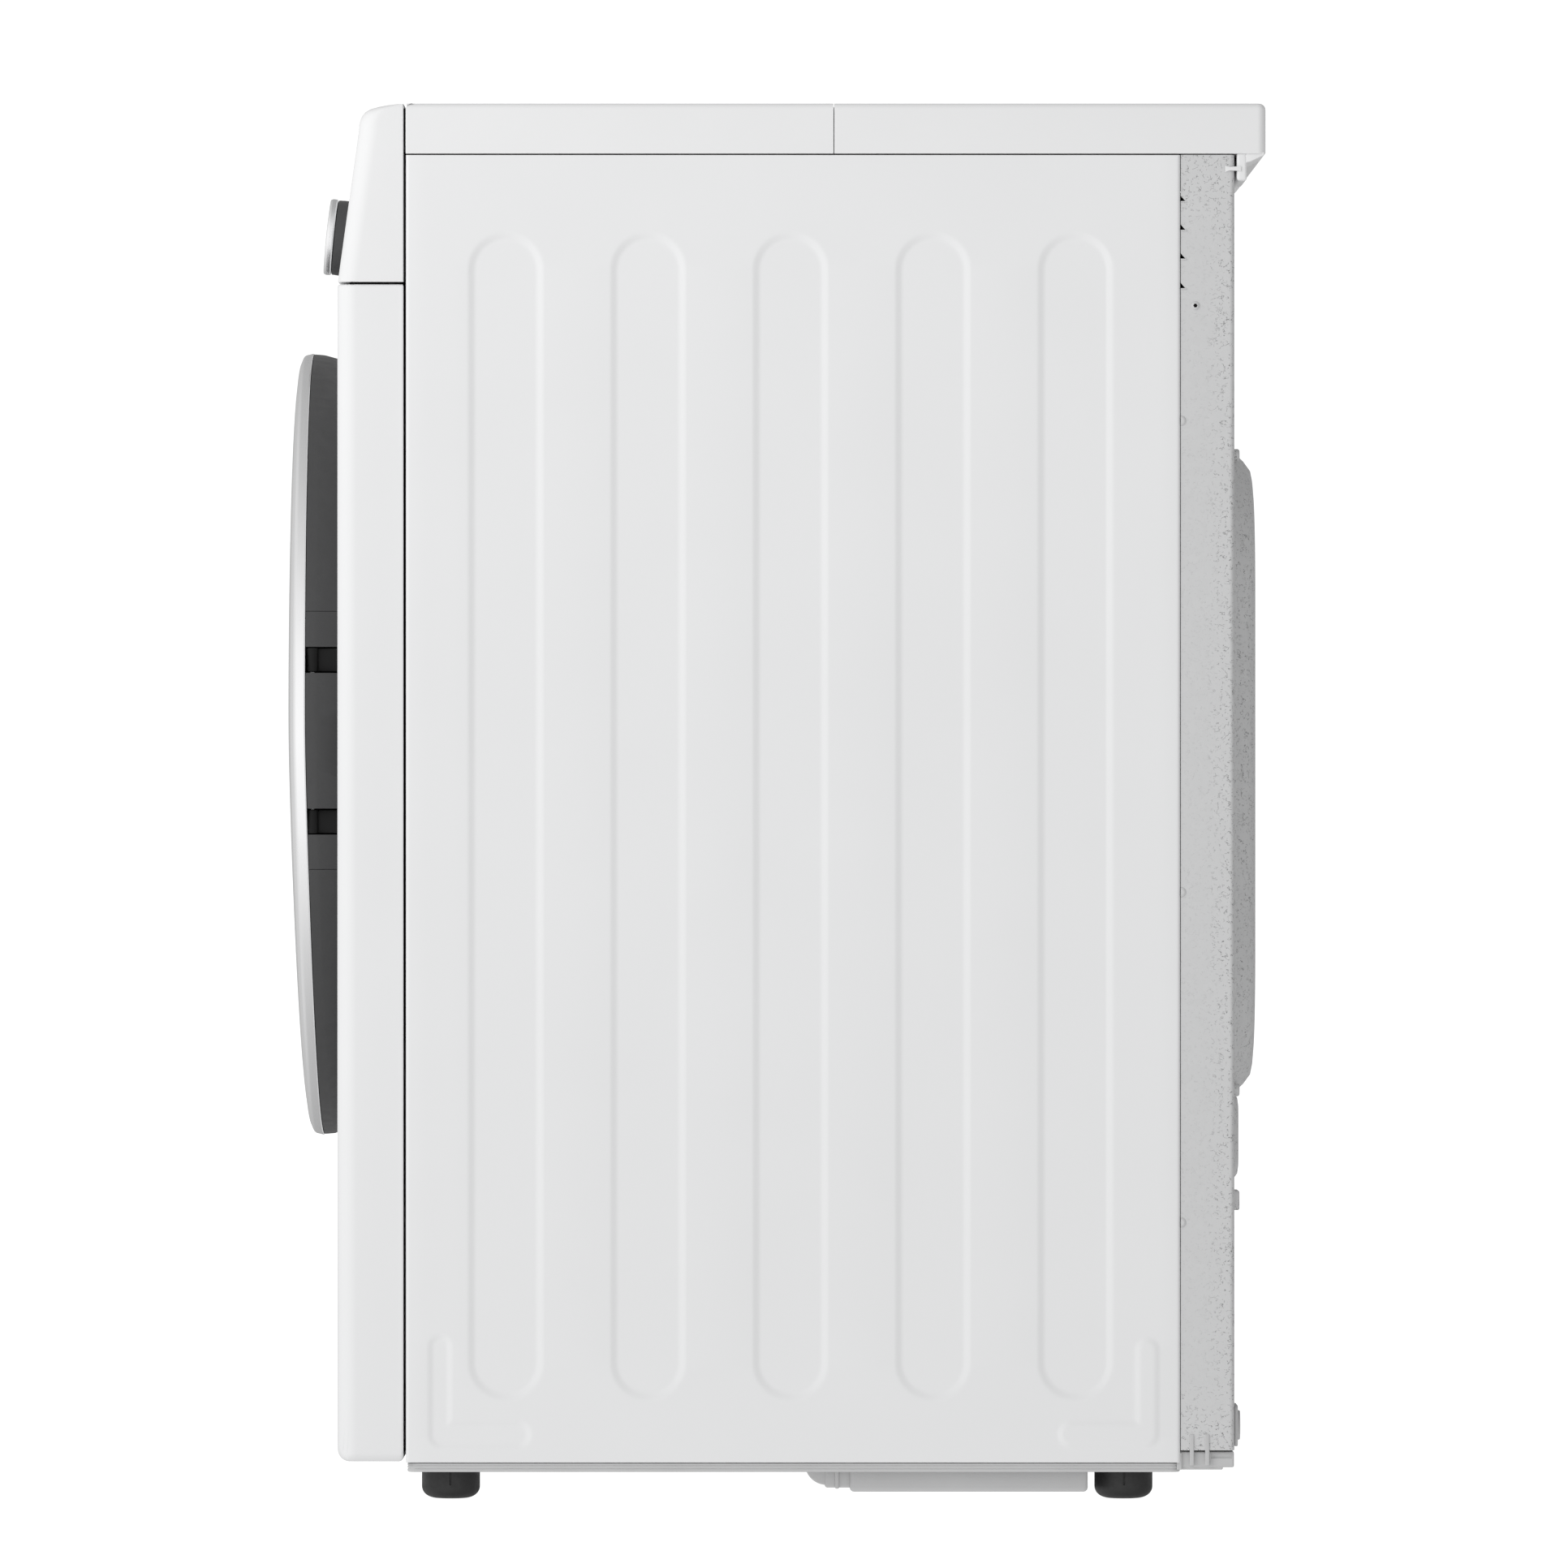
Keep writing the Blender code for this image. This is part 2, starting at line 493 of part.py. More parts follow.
def door():
    where = about_axis(0, AXIS_Z)
    r = DOOR_RADIUS
    front = DOOR_PROUD
    rim = [(r, DOOR_SEAM), (r, front - 0.0060), (r - 0.0012, front - 0.0024), (r - 0.0045, front - 0.0004),
           (r - 0.0090, front), (0.2010, front - 0.0020), (GLASS_RADIUS, front - 0.0040),
           (GLASS_RADIUS, front - 0.0068), (0.2370, front - 0.0040), (r - 0.0030, front - 0.0065),
           (r - 0.0030, DOOR_SEAM)]  # fmt: skip
    rim = turned("door_rim", rim, where, CHROME)
    pane = [(0, 0.0305), (0.1300, 0.0296), (GLASS_RADIUS - GAP, 0.0280), (GLASS_RADIUS - GAP, 0.0252), (0, 0.0252)]
    pane = turned("door_glass", pane, where, DARK_GLASS)
    bowl = [(0, -0.0700), (0.1460, -0.0700), (0.1505, -0.0660), (0.1720, -0.0040), (0.1735, 0.0160), (0.1760, 0.0160),
            (0.1760, 0.0200), (0.1700, 0.0200), (0.1690, -0.0040), (0.1475, -0.0640), (0.1440, -0.0670), (0, -0.0670)]  # fmt: skip
    bowl = turned("door_bowl", bowl, where, CLEAR_GLASS)

    back = back_ring("door_back_ring", DARK_PLASTIC)
    cut(back, box("cover_place", *span(0.2120, 0.2600, -0.0240, 0.0020, COVER_LOW, COVER_HIGH)))
    low, high = AXIS_Z - GRIP_HALF, AXIS_Z + GRIP_HALF
    cut(back, box("grip_place", *span(-0.2600, -0.1500, -0.0260, 0.0020, low, high)))

    grip = back_ring("door_grip", DARK_PLASTIC)
    low, high = low + GAP, high - GAP
    keep(grip, box("grip_extent", *span(GRIP_X, -0.1500, -0.0260, 0.0020, low, high)))
    join(grip, box("finger_wall", *span(GRIP_X, GRIP_X + 0.0020, -DOOR_SEAM + GAP, -0.0012, low, high)))
    cut(grip, box("hook_slot", *span(-0.2135, -0.2030, -0.0060, 0.0020, 0.4520, 0.4700)))

    cover = back_ring("hinge_cover", DARK_PLASTIC)
    low, high = COVER_LOW + GAP, COVER_HIGH - GAP
    keep(cover, box("cover_extent", *span(0.2123, 0.2600, -0.0240, 0.0020, low, high)))
    chamfer = [(0.2350, behind(0.0026)), (0.2600, behind(0.0026)), (0.2600, behind(-0.0224))]
    cut(cover, plate("cover_chamfer", [chamfer], "Z", 0.35, 0.58))
    for z in KNUCKLES:
        half = NOTCH_LENGTH / 2
        cut(cover, box("notch", *span(0.2220, 0.2700, -0.0260, 0.0040, z - half, z + half)))

    leaf_low = KNUCKLES[0] + KNUCKLE_LENGTH / 2 + 0.0008
    leaf_high = KNUCKLES[1] - KNUCKLE_LENGTH / 2 - 0.0008
    middle, length = (leaf_low + leaf_high) / 2, leaf_high - leaf_low
    pin = (HINGE_X, behind(-HINGE_PROUD), middle)
    leaf = box("hinge_leaf", *span(0.1900, HINGE_X, -0.0195, -0.0165, leaf_low + 0.002, leaf_high - 0.002), ZINC)
    join(leaf, cylinder("leaf_barrel", pin, 0.0030, length, "Z"))
    cut(leaf, cylinder("pin_bore", pin, 0.0019, length + 0.02, "Z"))

    hook = box("door_latch_hook", *span(-0.2118, -0.2048, -0.0062, 0.0120, 0.4535, 0.4685), ZINC)
    join(hook, box("hook_foot", *span(-0.2180, -0.1990, -0.0062, -0.0043, 0.4490, 0.4730)))
    join(hook, box("hook_barb", *span(-0.2138, -0.2100, 0.0080, 0.0120, 0.4535, 0.4685)))

    pieces = [rim, pane, bowl, back, grip, cover, leaf, hook]
    hang("door_hinge", Matrix.Translation((HINGE_X, behind(-HINGE_PROUD), AXIS_Z)), pieces)

    bracket = box("hinge_bracket", *span(0.2000, 0.2400, 0.0023, 0.0053, 0.3950, 0.5300), BLACK_STEEL)
    for z in KNUCKLES:
        half = KNUCKLE_LENGTH / 2
        join(bracket, box("arm", *span(*ARM_X, -HINGE_PROUD, 0.0040, z - half, z + half)))
        join(bracket, cylinder("knuckle", (*pin[:2], z), KNUCKLE_RADIUS, KNUCKLE_LENGTH, "Z"))
    join(bracket, cylinder("hinge_pin", pin, 0.0015, KNUCKLES[1] - KNUCKLES[0], "Z", sides=12))


# ---- Water tank
def water_tank():
    x0, x1 = TANK_X
    z0, z1 = TANK_Z
    lean = math.tan(SLOPE)

    def outline(inset, top):
        low_depth = (z0 + inset - 0.7434) * lean + 0.0045 + inset
        top_depth = (top - 0.7434) * lean + 0.0045 + inset
        back = TANK_BACK - inset
        return [(behind(d), z) for d, z in ((low_depth, z0 + inset), (top_depth, top), (back, top), (back, z0 + inset))]

    vessel = plate("tank_vessel", [outline(0.0, z1)], "X", x0, x1, WHITE_PLASTIC)
    cut(vessel, plate("tank_inside", [outline(0.002, z1 + 0.02)], "X", x0 + 0.002, x1 - 0.002))
    join(vessel, box("tank_lid", *span(x0 + 0.001, x1 - 0.001, 0.0200, 0.1200, z1 - 0.0020, z1)))
    frame = slope_frame(0, 0.7850)
    front = box("tank_front", (x0 - 0.0037, 0.0, -0.0357), (x1 + 0.0037, 0.0030, 0.0357), WHITE_PLASTIC, matrix=frame)
    hang("tank_slide", Matrix.Translation(((x0 + x1) / 2, behind(0), (z0 + z1) / 2)), [vessel, front])
    sleeve = box("tank_sleeve", *span(x0 - 0.0035, x1 + 0.0035, 0.0448, 0.4400, z0 - 0.0045, z1 + 0.0040), GREY_PLASTIC)
    cut(sleeve, box("sleeve_inside", *span(x0 - 0.0015, x1 + 0.0015, 0.0300, 0.4380, z0 - 0.0020, z1 + 0.02)))


# ---- Front bulkhead, filter and drum
def roller_places():
    reach = DRUM_RADIUS + ROLLER_RADIUS + 0.0005
    return [(s * reach * math.sin(ROLLER_ANGLE), AXIS_Z - reach * math.cos(ROLLER_ANGLE)) for s in (-1, 1)]


def bulkhead():
    """The wall in front of the drum, with a chute for the lint filter and stub axles for the rollers. A round throat
    to load through stands in its hole, with a flange at its rear for the drum's front seal."""
    hole = arc(0, AXIS_Z, THROAT_OUTSIDE, 0, 360 * (1 - 1 / ROUND), ROUND - 1)
    wall = plate("front_bulkhead", [rounded(-0.284, 0.112, 0.284, 0.736, 0.030), hole], "-Y",
                 -behind(0.0645), -behind(0.0620), GREY_PLASTIC)  # fmt: skip
    side, chute_front, chute_top = FILTER_X + 0.005, 0.0640, 0.3000
    chute = box("chute", *span(-side, side, chute_front, 0.1022, FILTER_LOW - 0.008, chute_top))
    cut(chute, rod("throat_clear", 0, AXIS_Z, THROAT_OUTSIDE, 0.0400, 0.1200, sides=ROUND))
    join(wall, chute)
    cut(wall, box("chute_inside", *span(-FILTER_X - 0.0020, FILTER_X + 0.0020, FILTER_FRONT - 0.0018,
                                        FILTER_BACK + 0.0018, FILTER_LOW - 0.0040, 0.3400)))  # fmt: skip
    for x, z in roller_places():
        join(wall, rod("stub_axle", x, z, 0.0040, 0.0630, 0.1400, sides=16))

    throat = ring("drum_throat", THROAT_RADIUS, THROAT_OUTSIDE - 0.0007, 0.0458, 0.1026, GREY_PLASTIC)
    join(throat, ring("seal_flange", THROAT_RADIUS + 0.0010, 0.2280, 0.1004, 0.1030))
    cut(throat, box("chute_gap", *span(-side - GAP, side + GAP, chute_front - GAP, 0.1100, 0.1000, 0.3300)))
    ring("front_drum_seal", 0.2085, 0.2250, 0.1034, 0.1112, FELT)


def lint_filter():
    x, low, high = FILTER_X, FILTER_LOW, FILTER_HIGH
    outer = box("lint_filter_outer", *span(-x, x, FILTER_FRONT, FILTER_BACK, low, high), IVORY)
    cut(outer, box("outer_inside", *span(-x + 0.0018, x - 0.0018, FILTER_FRONT + 0.0018, FILTER_BACK - 0.0018,
                                         low + 0.0018, high + 0.01)))  # fmt: skip
    inner_front, inner_back = FILTER_FRONT + 0.0026, FILTER_BACK - 0.0026
    inner = box("lint_filter_inner", *span(-x + 0.003, x - 0.003, inner_front, inner_back, low + 0.003, high), IVORY)
    cut(inner, box("inner_inside", *span(-x + 0.005, x - 0.005, inner_front + 0.0015, inner_back - 0.0015,
                                         low + 0.005, high + 0.01)))  # fmt: skip
    join(inner, box("grip", *span(-0.030, 0.030, inner_front, inner_front + 0.0040, high - 0.01, high + 0.006)))
    middle = behind((FILTER_FRONT + FILTER_BACK) / 2)
    hang("filter_lift", Matrix.Translation((0, middle, low)), [outer])
    hang("inner_filter_lift", Matrix.Translation((0, middle, low + 0.003)), [inner])


def drum():
    r, wall = DRUM_RADIUS, DRUM_WALL
    shell = [(r, -DRUM_FRONT), (r, -DRUM_BACK), (r - wall, -DRUM_BACK), (r - wall, -DRUM_FRONT - wall),
             (DRUM_MOUTH, -DRUM_FRONT - wall), (DRUM_MOUTH, -DRUM_NECK), (DRUM_MOUTH + wall, -DRUM_NECK),
             (DRUM_MOUTH + wall, -DRUM_FRONT)]  # fmt: skip
    shell = turned("drum_shell", shell, about_axis(0, AXIS_Z), STAINLESS)
    edge = r - wall - GAP
    disc = [(0, -0.4850), (0.0700, -0.4850), (0.0900, -0.4960), (edge, -0.4985), (edge, -0.4997), (0.0900, -0.4974),
            (0.0690, -0.4864), (0, -0.4864)]  # fmt: skip
    back = turned("drum_back", disc, about_axis(0, AXIS_Z), STAINLESS)
    for i in range(12):
        angle = 2 * math.pi * i / 12
        x, z = 0.180 * math.cos(angle), AXIS_Z + 0.180 * math.sin(angle)
        cut(back, rod("drum_air_hole", x, z, 0.0200, 0.480, 0.510, sides=8))
    shaft = [(0, -0.4872), (0.0600, -0.4872), (0.0600, -0.4950), (0.0125, -0.5020), (0.0125, -0.5400), (0, -0.5400)]
    shaft = turned("drum_shaft", shaft, about_axis(0, AXIS_Z), BLACK_STEEL, SMALL)
    lifters = []
    profile = [(-0.0300, 0.2735)] + arc(0, 0.2320, 0.0080, 200, 340, 6) + [(0.0300, 0.2735)]
    for i in range(3):
        turn = Matrix.Translation((0, 0, AXIS_Z)) @ Matrix.Rotation(math.radians(120 * i), 4, "Y")
        lifters.append(plate(f"lifter_{i + 1}", [profile], "-Y", -behind(0.470), -behind(0.150), GREY_PLASTIC, turn))
    hang("drum_axis", about_axis(0, AXIS_Z), [shell, back, shaft, *lifters])
    for name, (x, z) in zip(("roller_left", "roller_right"), roller_places()):
        wheel = ring(name, 0.0045, ROLLER_RADIUS, 0.1180, 0.1360, RUBBER, SMALL, x, z)
        hang(name + "_axis", about_axis(x, z), [wheel])


# ---- Drive and heat pump, in the base
def belt_outline(drum_radius, pulley_radius):
    """A loop drawn tight round the drum and the motor's pulley."""
    dx, dz = MOTOR_X, MOTOR_Z - AXIS_Z
    towards = math.degrees(math.atan2(dz, dx))
    lean = math.degrees(math.acos((drum_radius - pulley_radius) / math.hypot(dx, dz)))
    round_drum = arc(0, AXIS_Z, drum_radius, towards + lean, towards + 360 - lean, 48)
    round_pulley = arc(MOTOR_X, MOTOR_Z, pulley_radius, towards - lean, towards + lean, 6)
    return round_drum + round_pulley


def drive():
    # The belt's inner outline stands off the drum far enough for the flats of its many sides.
    inner, outer = DRUM_RADIUS + 0.0014, DRUM_RADIUS + 0.0014 + BELT_THICK
    pulley = PULLEY_RADIUS + 0.0006
    loops = [belt_outline(outer, pulley + BELT_THICK), belt_outline(inner, pulley)]
    plate("drum_belt", loops, "-Y", -behind(BELT_DEPTH + BELT_WIDTH), -behind(BELT_DEPTH), RUBBER)

    motor = rod("motor_body", MOTOR_X, MOTOR_Z, MOTOR_RADIUS, 0.3000, 0.4150, ZINC, 32)
    for front in (0.3100, 0.3930):
        join(motor, box("motor_foot", *span(MOTOR_X - 0.040, MOTOR_X + 0.040, front, front + 0.012, 0.0210, 0.0950)))
    cut(motor, rod("motor_bore", MOTOR_X, MOTOR_Z, 0.0060, 0.2900, 0.4300, sides=16))
    cut(motor, rod("motor_inside", MOTOR_X, MOTOR_Z, 0.0340, 0.2900, 0.4100, sides=20))
    rotor = [(0, -0.2640), (PULLEY_RADIUS, -0.2640), (PULLEY_RADIUS, -0.2820), (0.0050, -0.2820),
             (0.0050, -0.4320), (0, -0.4320)]  # fmt: skip
    rotor = turned("motor_pulley", rotor, about_axis(MOTOR_X, MOTOR_Z), BLACK_STEEL, SMALL)
    fan = rod("fan_wheel", MOTOR_X, MOTOR_Z, 0.0120, 0.4330, 0.4680, DARK_PLASTIC)
    for i in range(6):
        turn = Matrix.Translation((MOTOR_X, 0, MOTOR_Z)) @ Matrix.Rotation(math.radians(60 * i), 4, "Y")
        join(fan, box("blade", *span(-0.0015, 0.0015, 0.4340, 0.4670, 0.0060, FAN_RADIUS), matrix=turn))
    hang("motor_axis", about_axis(MOTOR_X, MOTOR_Z), [rotor, fan])
    house = [(0.0300, -0.4270), (0.0680, -0.4270), (0.0680, -0.4760), (0.0150, -0.4760), (0.0150, -0.4735),
             (0.0655, -0.4735), (0.0655, -0.4295), (0.0300, -0.4295)]  # fmt: skip
    turned("fan_housing", house, about_axis(MOTOR_X, MOTOR_Z), DARK_PLASTIC, 32)

    # The idler bears on the belt's outer face, half way along its upper left run.
    dx, dz = MOTOR_X, MOTOR_Z - AXIS_Z
    towards = math.atan2(dz, dx)
    lean = math.acos((DRUM_RADIUS - PULLEY_RADIUS) / math.hypot(dx, dz))
    side = towards - lean
    out = PULLEY_RADIUS + 0.0006 + BELT_THICK + 0.0005 + IDLER_RADIUS
    run = 0.090
    x = MOTOR_X + out * math.cos(side) + run * math.sin(side)
    z = MOTOR_Z + out * math.sin(side) - run * math.cos(side)
    idler = ring("idler_pulley", 0.0040, IDLER_RADIUS, BELT_DEPTH - 0.002, BELT_DEPTH + BELT_WIDTH + 0.002,
                 DARK_PLASTIC, SMALL, x, z)  # fmt: skip
    hang("idler_axis", about_axis(x, z), [idler])


def heat_pump():
    pot = [(0, 0.2120), (0.0300, 0.2090), (0.0460, 0.1960), (0.0520, 0.1750), (0.0520, 0.0600), (0.0440, 0.0420),
           (0.0250, 0.0330), (0, 0.0330)]  # fmt: skip
    compressor = turned("compressor", pot, Matrix.Translation((0.2050, behind(0.3700), 0)), BLACK_STEEL, 32)
    join(compressor, box("compressor_feet", *span(0.145, 0.265, 0.310, 0.430, 0.0225, 0.0480)))
    cut(compressor, cylinder("compressor_inside", (0.2050, behind(0.3700), 0.0950), 0.0360, 0.1700, "Z"))
    for name, front, back in (("evaporator", 0.110, 0.175), ("condenser", 0.183, 0.248)):
        core = box(name, *span(-0.108, 0.108, front, back, 0.0300, 0.1560), ALUMINIUM)
        for i in range(7):
            x = -0.090 + 0.030 * i
            cut(core, box("fin_gap", *span(x - 0.0100, x + 0.0100, front - 0.01, back - 0.005, 0.0360, 0.1500)))
        join(core, box(name + "_feet", *span(-0.100, 0.100, front + 0.01, back - 0.01, 0.0212, 0.0310)))
    pump = box("drain_pump", *span(-0.030, 0.030, 0.340, 0.420, 0.0110, 0.0450), DARK_PLASTIC, 0.002)
    join(pump, cylinder("pump_motor", (0, behind(0.380), 0.0600), 0.0210, 0.0500, "Z"))


def feet():
    for i, (x, depth) in enumerate(foot_places()):
        name = "foot_" + ("front", "rear")[i // 2] + ("_left", "_right")[i % 2]
        r = FOOT_RADIUS
        profile = [(0, 0.0430), (0.0040, 0.0430), (0.0040, 0.0165), (r - 0.0015, 0.0165), (r, 0.0150), (r, 0.0030),
                   (r - 0.0008, 0.0010), (r - 0.0030, 0), (0, 0)]  # fmt: skip
        where = Matrix.Translation((x, behind(depth), 0))
        hang(name + "_thread", where, [turned(name, profile, where, RUBBER, SMALL)])


def main():
    clear_scene()
    base_pan()
    side_panel("side_panel_left", -1)
    side_panel("side_panel_right", 1)
    rear_wall()
    top_cover()
    front_panel()
    control_fascia()
    knob()
    door()
    water_tank()
    bulkhead()
    lint_filter()
    drum()
    drive()
    heat_pump()
    feet()


main()
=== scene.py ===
import json
import math

import bmesh
import bpy
import numpy as np
from mathutils import Matrix, Vector
from mathutils.geometry import tessellate_polygon


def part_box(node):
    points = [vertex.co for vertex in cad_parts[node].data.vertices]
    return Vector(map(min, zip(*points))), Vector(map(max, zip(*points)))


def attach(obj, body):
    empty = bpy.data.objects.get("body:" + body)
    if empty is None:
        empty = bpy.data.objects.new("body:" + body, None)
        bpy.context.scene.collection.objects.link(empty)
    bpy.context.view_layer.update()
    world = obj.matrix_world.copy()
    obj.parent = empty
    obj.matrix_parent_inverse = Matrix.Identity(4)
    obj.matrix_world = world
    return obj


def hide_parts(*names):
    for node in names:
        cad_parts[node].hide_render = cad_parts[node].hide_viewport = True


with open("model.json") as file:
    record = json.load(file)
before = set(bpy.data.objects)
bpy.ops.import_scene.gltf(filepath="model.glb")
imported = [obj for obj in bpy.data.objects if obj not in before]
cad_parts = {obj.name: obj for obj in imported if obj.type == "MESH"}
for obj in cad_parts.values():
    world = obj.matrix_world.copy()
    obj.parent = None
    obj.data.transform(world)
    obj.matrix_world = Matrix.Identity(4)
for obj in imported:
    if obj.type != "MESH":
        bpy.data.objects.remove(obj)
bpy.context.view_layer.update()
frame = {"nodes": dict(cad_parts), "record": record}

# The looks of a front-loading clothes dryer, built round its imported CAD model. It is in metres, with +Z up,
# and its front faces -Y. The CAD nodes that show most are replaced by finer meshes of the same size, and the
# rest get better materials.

LOW, HIGH = {}, {}
for node in frame["nodes"]:
    LOW[node], HIGH[node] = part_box(node)

PANEL_Y = LOW["front_panel"].y  # the front panel's face
AXIS_Z = (LOW["door_rim"].z + HIGH["door_rim"].z) / 2  # of the door and the drum
HALF = HIGH["side_panel_right"].x


def behind(distance):
    """The Y coordinate of a point this far behind the front panel's face."""
    return PANEL_Y + distance


def depth_of(y):
    return y - PANEL_Y


# ---- Outlines
def rounded_path(points, closed=True, finest=9.0):
    """A polyline through (x, y) points, with an arc of radius r at each (x, y, r) point."""
    out = []
    count = len(points)
    for i, point in enumerate(points):
        here = Vector(point[:2])
        radius = point[2] if len(point) > 2 else 0
        if not radius or (not closed and i in (0, count - 1)):
            out.append(tuple(here))
            continue
        before = (Vector(points[i - 1][:2]) - here).normalized()
        after = (Vector(points[(i + 1) % count][:2]) - here).normalized()
        half = before.angle(after) / 2
        centre = here + (before + after).normalized() * radius / math.sin(half)
        start = here + before * radius / math.tan(half) - centre
        end = here + after * radius / math.tan(half) - centre
        begin = math.atan2(start.y, start.x)
        sweep = (math.atan2(end.y, end.x) - begin + math.pi) % (2 * math.pi) - math.pi
        steps = max(2, math.ceil(abs(math.degrees(sweep)) / finest))
        for k in range(steps + 1):
            angle = begin + sweep * k / steps
            out.append((centre.x + radius * math.cos(angle), centre.y + radius * math.sin(angle)))
    return out


def rectangle(x0, y0, x1, y1, radius):
    return rounded_path([(x0, y0, radius), (x1, y0, radius), (x1, y1, radius), (x0, y1, radius)])


def circle(x, y, radius, sides=64):
    turn = [2 * math.pi * i / sides for i in range(sides)]
    return [(x + radius * math.cos(a), y + radius * math.sin(a)) for a in turn]


def arc(radius, start, end, steps):
    """Points along an arc about (0, 0), between two angles in degrees."""
    turns = [math.radians(start + (end - start) * k / steps) for k in range(steps + 1)]
    return [(radius * math.cos(a), radius * math.sin(a)) for a in turns]


def wound(outline, counterclockwise=True):
    area = sum(a[0] * b[1] - b[0] * a[1] for a, b in zip(outline, outline[1:] + outline[:1]))
    return outline if (area > 0) == counterclockwise else outline[::-1]


def inset(outline, distance):
    """The outline moved to its left-hand side, with its corners kept sharp."""
    points = np.array(outline, float)
    along = np.roll(points, -1, 0) - points
    along /= np.maximum(np.linalg.norm(along, axis=1, keepdims=True), 1e-12)
    left = np.stack([-along[:, 1], along[:, 0]], 1)
    before = np.roll(left, 1, 0)
    share = np.maximum(1 + (left * before).sum(1, keepdims=True), 0.3)
    return points + (left + before) / share * distance


# ---- Meshes
TURN = {
    "X": Matrix(((0, 0, 1), (1, 0, 0), (0, 1, 0))).to_4x4(),  # outlines are (Y, Z)
    "-Y": Matrix(((1, 0, 0), (0, 0, -1), (0, 1, 0))).to_4x4(),  # outlines are (X, Z)
    "Z": Matrix(),  # outlines are (X, Y)
}


def at(x, depth, z):
    """A move to this place, with its depth measured behind the front panel's face."""
    return Matrix.Translation((x, behind(depth), z))


def about_axis(x=0.0, z=None, distance=0.0):
    """The place of a shape turned about a front-to-back axis: its own +Z points to the front."""
    return at(x, distance, AXIS_Z if z is None else z) @ TURN["-Y"]


def shape(name, verts, faces, finish=None, matrix=None, sharp=30.0):
    """An object made from points and faces, shaded smooth between its sharp edges."""
    mesh = bpy.data.meshes.new(name)
    mesh.from_pydata([tuple(map(float, v)) for v in verts], [], [tuple(map(int, f)) for f in faces])
    bm = bmesh.new()
    bm.from_mesh(mesh)
    bmesh.ops.transform(bm, matrix=matrix or Matrix(), verts=bm.verts)
    bmesh.ops.recalc_face_normals(bm, faces=bm.faces)
    bm.to_mesh(mesh)
    bm.free()
    mesh.shade_smooth()
    mesh.set_sharp_from_angle(angle=math.radians(sharp))
    obj = bpy.data.objects.new(name, mesh)
    bpy.context.scene.collection.objects.link(obj)
    if finish:
        mesh.materials.append(finish)
    return obj


def rows_of_quads(rings, closed_ring=True, closed_rows=False):
    """Faces between neighbouring rings of points, each ring of the same length."""
    count, size = len(rings), len(rings[0])
    faces = []
    for i in range(count if closed_rows else count - 1):
        a, b = i * size, (i + 1) % count * size
        for j in range(size if closed_ring else size - 1):
            k = (j + 1) % size
            faces.append((a + j, a + k, b + k, b + j))
    return faces


def turned(name, profile, matrix, finish=None, steps=160, sharp=30.0):
    """A solid turned about its own Z from a loop of (radius, height) points. Two may be on the axis."""
    verts, rings = [], []
    for radius, height in profile:
        sides = 1 if radius < 1e-7 else steps
        rings.append(range(len(verts), len(verts) + sides))
        turn = [2 * math.pi * i / steps for i in range(sides)]
        verts += [(radius * math.cos(a), radius * math.sin(a), height) for a in turn]
    faces = []
    for a, b in zip(rings, rings[1:] + rings[:1]):
        if len(a) == len(b) == 1:
            continue
        for i in range(steps):
            j = (i + 1) % steps
            quad = [a[i % len(a)], a[j % len(a)], b[j % len(b)], b[i % len(b)]]
            faces.append(tuple(dict.fromkeys(quad)))
    return shape(name, verts, faces, finish, matrix, sharp)


def stacked(name, loops, levels, finish=None, matrix=None, sharp=30.0):
    """A solid from an outline, and any holes after it, drawn in by some amount at each height. The levels are
    (inset, height), or (inset, height, inset of the holes)."""
    loops = [wound(list(loop), i == 0) for i, loop in enumerate(loops)]
    verts, faces = [], []
    size = sum(len(loop) for loop in loops)
    for level in levels:
        for i, loop in enumerate(loops):
            drawn_in = level[-1] if i and len(level) > 2 else level[0]
            verts += [(x, y, level[1]) for x, y in inset(loop, drawn_in)]
    for level in range(len(levels) - 1):
        start = level * size
        for loop in loops:
            count = len(loop)
            for i in range(count):
                j = (i + 1) % count
                faces.append((start + i, start + j, start + size + j, start + size + i))
            start += count
    caps = tessellate_polygon([[Vector((x, y, 0)) for x, y in loop] for loop in loops])
    last = (len(levels) - 1) * size
    faces += [tuple(reversed(face)) for face in caps] + [tuple(last + i for i in face) for face in caps]
    return shape(name, verts, faces, finish, matrix, sharp)


def prism(name, outline, low, high, finish=None, matrix=None, edge=0.0, holes=(), steps=3, sharp=30.0):
    """A plate cut to an outline, from low to high along its own Z, with round edges top and bottom."""
    levels = []
    for k in range(steps + 1 if edge else 1):
        angle = math.pi / 2 * k / steps
        levels.append((edge * (1 - math.sin(angle)), low + edge * (1 - math.cos(angle))))
    levels += [(a, low + high - h) for a, h in reversed(levels)]
    return stacked(name, [outline, *holes], levels, finish, matrix, sharp)


def block(name, low, high, finish=None, edge=0.001, matrix=None, steps=3):
    """A box between two corners with all its edges round."""
    outline = rectangle(low[0], low[1], high[0], high[1], edge)
    return prism(name, outline, low[2], high[2], finish, matrix, edge * 0.98, steps=steps)


def span(x0, x1, front, back, z0, z1):
    """The low and high corners of a box given by its depths behind the front panel."""
    return (x0, behind(front), z0), (x1, behind(back), z1)


def on_side(side, a, b):
    """Two distances from the middle as X coordinates on the left (-1) or right (1) side, lowest first."""
    return sorted((side * a, side * b))


def sideways(name, outline, x0, x1, finish=None, edge=0.0):
    """A plate cut to an outline of (depth, height) points, from one X to another."""
    return prism(name, [(behind(depth), z) for depth, z in outline], x0, x1, finish, TURN["X"], edge)


